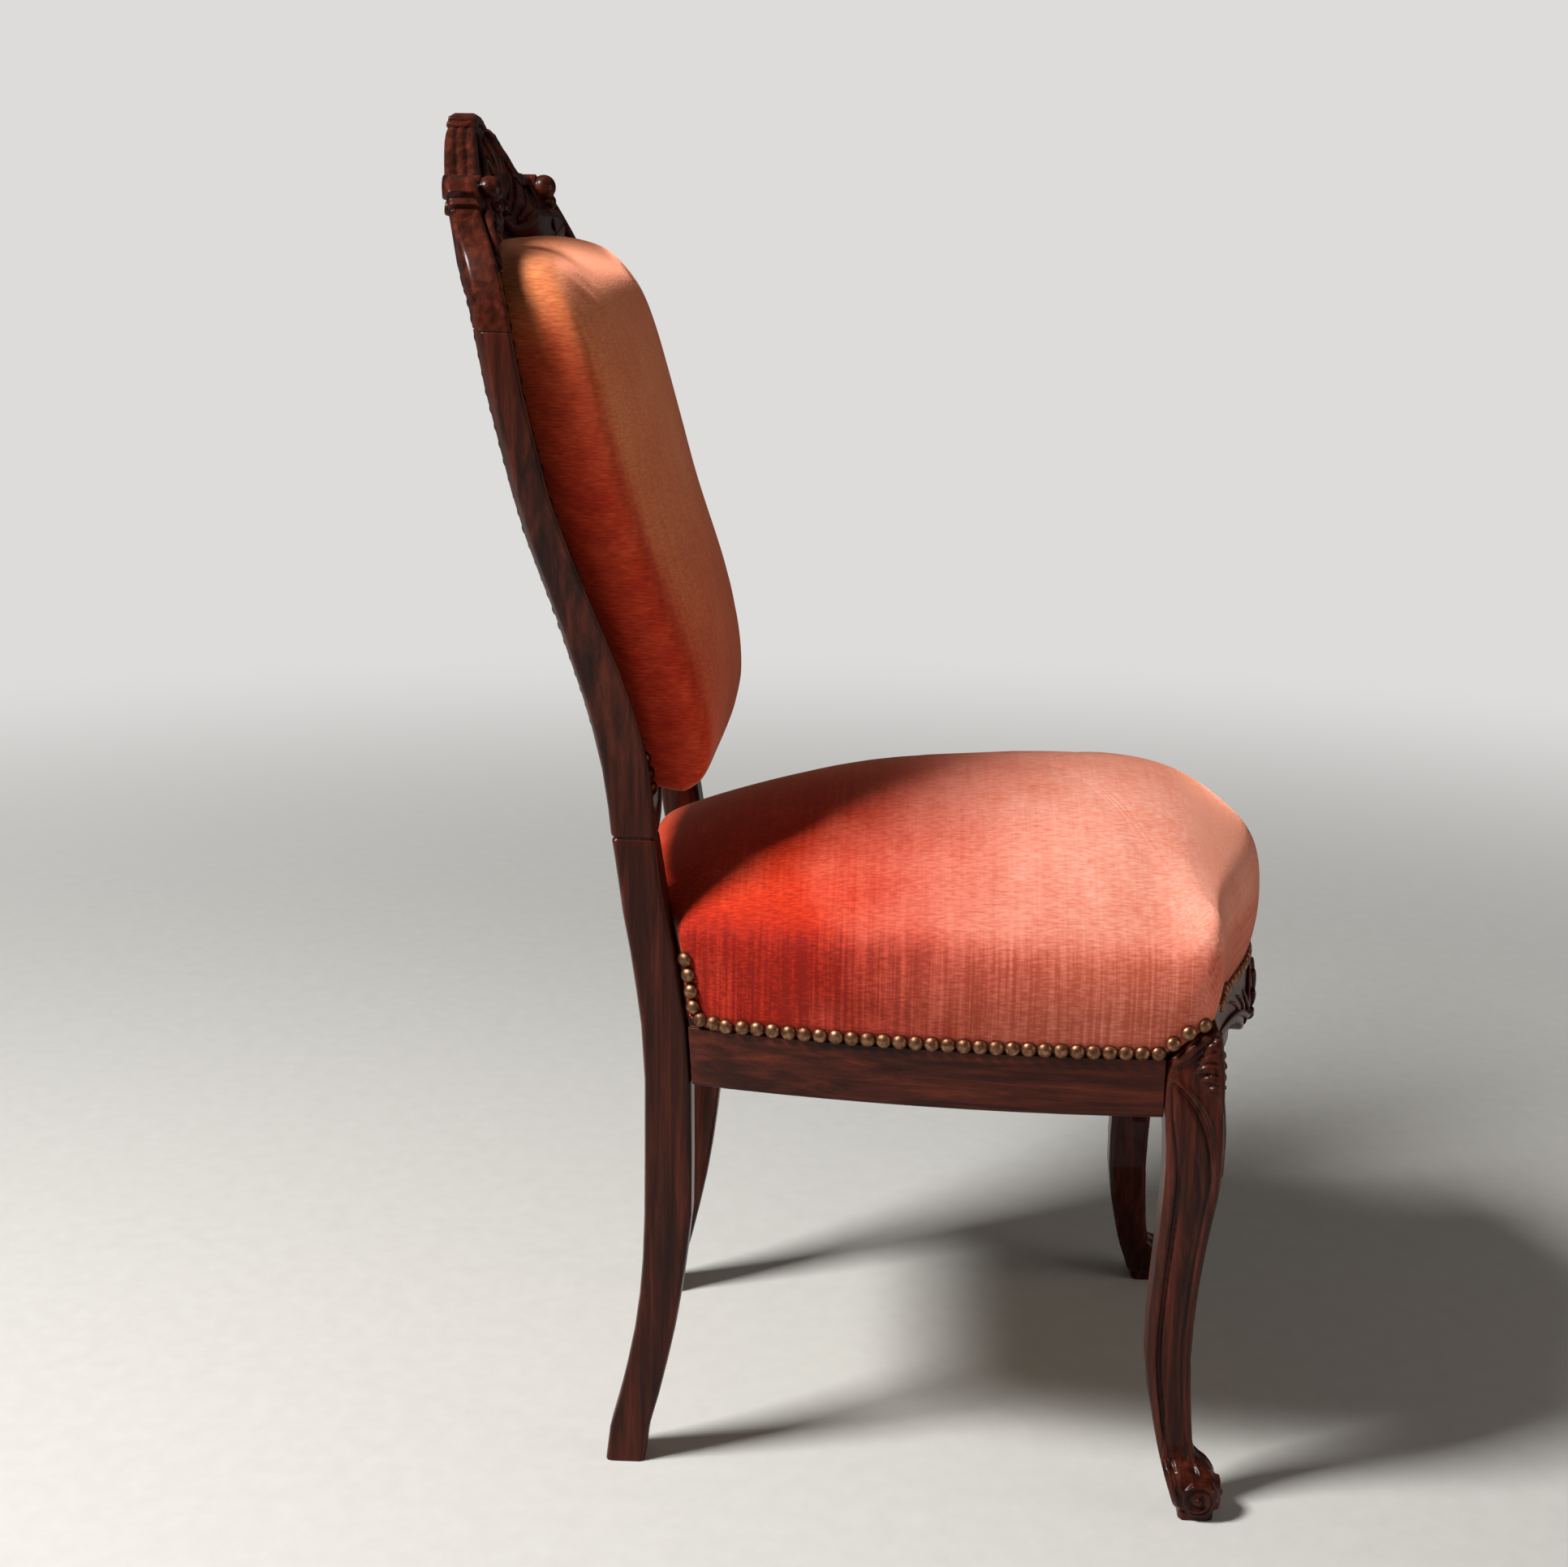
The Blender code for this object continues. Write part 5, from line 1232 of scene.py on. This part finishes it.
# Screws in the corner blocks and tacks in the webbing
countersunkScrew = {
    "sides": 20, "headWidth": 0.0075, "headHeight": 0.0010, "edge": 0.0002,
    "slot": (0.0010, 0.0007), "heights": (0.322, 0.341), "from": (0, -0.06),
}
flatTack = {
    "sides": 12, "headWidth": 0.0062, "headHeight": 0.0010, "edge": 0.0003,
    "acrossStrap": (-0.018, -0.009, 0.0, 0.009, 0.018), "insets": (0.014, 0.018),
}


def makeFlatHead(look):
    bpy.ops.mesh.primitive_cylinder_add(
        vertices=look["sides"], radius=look["headWidth"] / 2, depth=look["headHeight"])
    return shaped(bpy.context.active_object, "BEVEL", width=look["edge"])


def cutSlot(head, look):
    bpy.ops.mesh.primitive_cube_add(size=1, location=(0, 0, look["headHeight"] / 2))
    slotTool = bpy.context.active_object
    slotTool.scale = (look["headWidth"] * 1.2, look["slot"][0], look["slot"][1] * 2)
    shaped(head, "BOOLEAN", object=placeInMesh(slotTool))
    bpy.data.objects.remove(slotTool)
    return head


def makeScrews(look):
    seats = []
    for node in cornerBlocks:
        block = surfaceOf(nodes[node])
        low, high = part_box(node)
        middle = (low + high) / 2
        for z in look["heights"]:
            start = Vector((*look["from"], z))
            aim = Vector((middle.x - start.x, middle.y - start.y, 0)).normalized()
            place, normal = block.ray_cast(start, aim)[:2]
            if place is not None:
                seats.append((place + normal * 0.0001, normal))
    return seats


def makeTacks(look):
    seats = []
    for way, i, axis, _ in straps:
        surface = surfaceOf(bpy.data.objects[f"{way}Webbing{i}"])
        low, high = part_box(f"webbing_{way}_{i}")
        for end, turn in ((low, 1), (high, -1)):
            inward = Vector((axis == 0, axis == 1, 0)) * turn
            for k, off in enumerate(look["acrossStrap"]):
                spot = (low + high) / 2
                spot[1 - axis] += off
                spot[axis] = end[axis]
                spot.z = 0.1
                spot = underWood(spot, inward, look["insets"][k % 2])
                seats.append(setOn(surface, spot, upward, sink=-0.0001))
    return seats


screwHead = cutSlot(makeFlatHead(countersunkScrew), countersunkScrew)
driveNails("blockScrews", screwHead, makeScrews(countersunkScrew), "screwSteelTurned")
bpy.data.objects.remove(screwHead)
tackHead = makeFlatHead(flatTack)
driveNails("webbingTacks", tackHead, makeTacks(flatTack), "bluedTackSteel")
bpy.data.objects.remove(tackHead)
print("screws and tacks driven")


# Camera, floor and light

cameraLook = {
    "place": (-1.90348, -0.02711, 0.93130), "lens": 59.63,
    "right": (0.0492, -0.9987, 0.0146), "up": (0.2302, 0.0256, 0.9728), "back": (-0.9719, -0.0445, 0.2312),
}
lightLook = {
    "keyFrom": (-0.345, 0.590, 0.730), "keyDistance": 2.8, "keySize": 0.7, "keyPower": 112.0,
    "keyColour": "#fffdf9", "fillColour": "#fff0e2",
    "fillPlace": (-0.8, -2.8, 0.9), "fillSize": 1.8, "fillPower": 17.0, "target": (0, 0, 0.45),
    "world": "#e8e8e7", "worldStrength": 0.068, "shown": "#dddcda",
}
floorLook = {"colour": "#dddddb", "size": 24.0, "fade": (0.9, 3.2)}


def placeCamera(look):
    bpy.ops.object.camera_add(location=look["place"])
    camera = bpy.context.active_object
    columns = [Vector(look[key]).normalized() for key in ("right", "up", "back")]
    turn = Matrix(columns).transposed().to_4x4()
    camera.matrix_world = Matrix.Translation(look["place"]) @ turn
    camera.data.lens = look["lens"]
    camera.data.sensor_width = 36
    scene.camera = camera


def addSoftbox(name, place, look):
    bpy.ops.object.light_add(type="AREA", location=place)
    lamp = bpy.context.active_object
    lamp.name = f"{name}Light"
    lamp.data.size = look[f"{name}Size"]
    lamp.data.energy = look[f"{name}Power"]
    lamp.data.color = toLinear(look[f"{name}Colour"])[:3]
    lamp.rotation_euler = (Vector(place) - Vector(look["target"])).to_track_quat("Z", "Y").to_euler()


def lightScene(look):
    keyPlace = [a * look["keyDistance"] + b for a, b in zip(look["keyFrom"], look["target"])]
    addSoftbox("key", keyPlace, look)
    addSoftbox("fill", look["fillPlace"], look)
    world = bpy.data.worlds.new("studio")
    scene.world = world
    world.use_nodes = True
    tree = world.node_tree
    light = tree.nodes["Background"]
    light.inputs["Color"].default_value = toLinear(look["world"])
    light.inputs["Strength"].default_value = look["worldStrength"]
    shown = addNode(tree, "Background", {"Color": toLinear(look["shown"]), "Strength": 1.0})
    path = addNode(tree, "LightPath")
    links = {0: path.outputs["Is Camera Ray"], 1: light.outputs[0], 2: shown.outputs[0]}
    mix = addNode(tree, "MixShader", links=links)
    tree.links.new(mix.outputs[0], tree.nodes["World Output"].inputs["Surface"])


def layFloor(look):
    bpy.ops.mesh.primitive_plane_add(size=look["size"], location=(0, 0, 0))
    floor = bpy.context.active_object
    floor.name = "studioFloor"
    material, tree, shader, place = startMaterial("paleFloorPainted")
    speck = grainNoise(tree, place, (0.02, 0.02, 0.02), 3.0, 0.6)
    colour = rampOf(tree, speck, [(0.3, "#d8d8d5"), (0.7, look["colour"])])
    wire(tree, shader, {"Base Color": colour}, {"Roughness": 0.85, "Specular IOR Level": 0.1})
    reach = addNode(tree, "VectorMath", {"operation": "LENGTH"}, {0: place}).outputs["Value"]
    near, far = look["fade"]
    fade = remap(tree, reach, {"interpolation_type": "SMOOTHSTEP", 1: near, 2: far})
    seen = addNode(tree, "LightPath").outputs["Is Camera Ray"]
    share = reckon(tree, "MULTIPLY", {0: fade, 1: seen})
    glow = addNode(tree, "Emission", {"Color": toLinear(lightLook["shown"])})
    mixed = addNode(tree, "MixShader", links={0: share, 1: shader.outputs[0], 2: glow.outputs[0]})
    tree.links.new(mixed.outputs[0], tree.nodes["Material Output"].inputs["Surface"])
    floor.data.materials.append(material)


placeCamera(cameraLook)
lightScene(lightLook)
layFloor(floorLook)

print("scene ready")
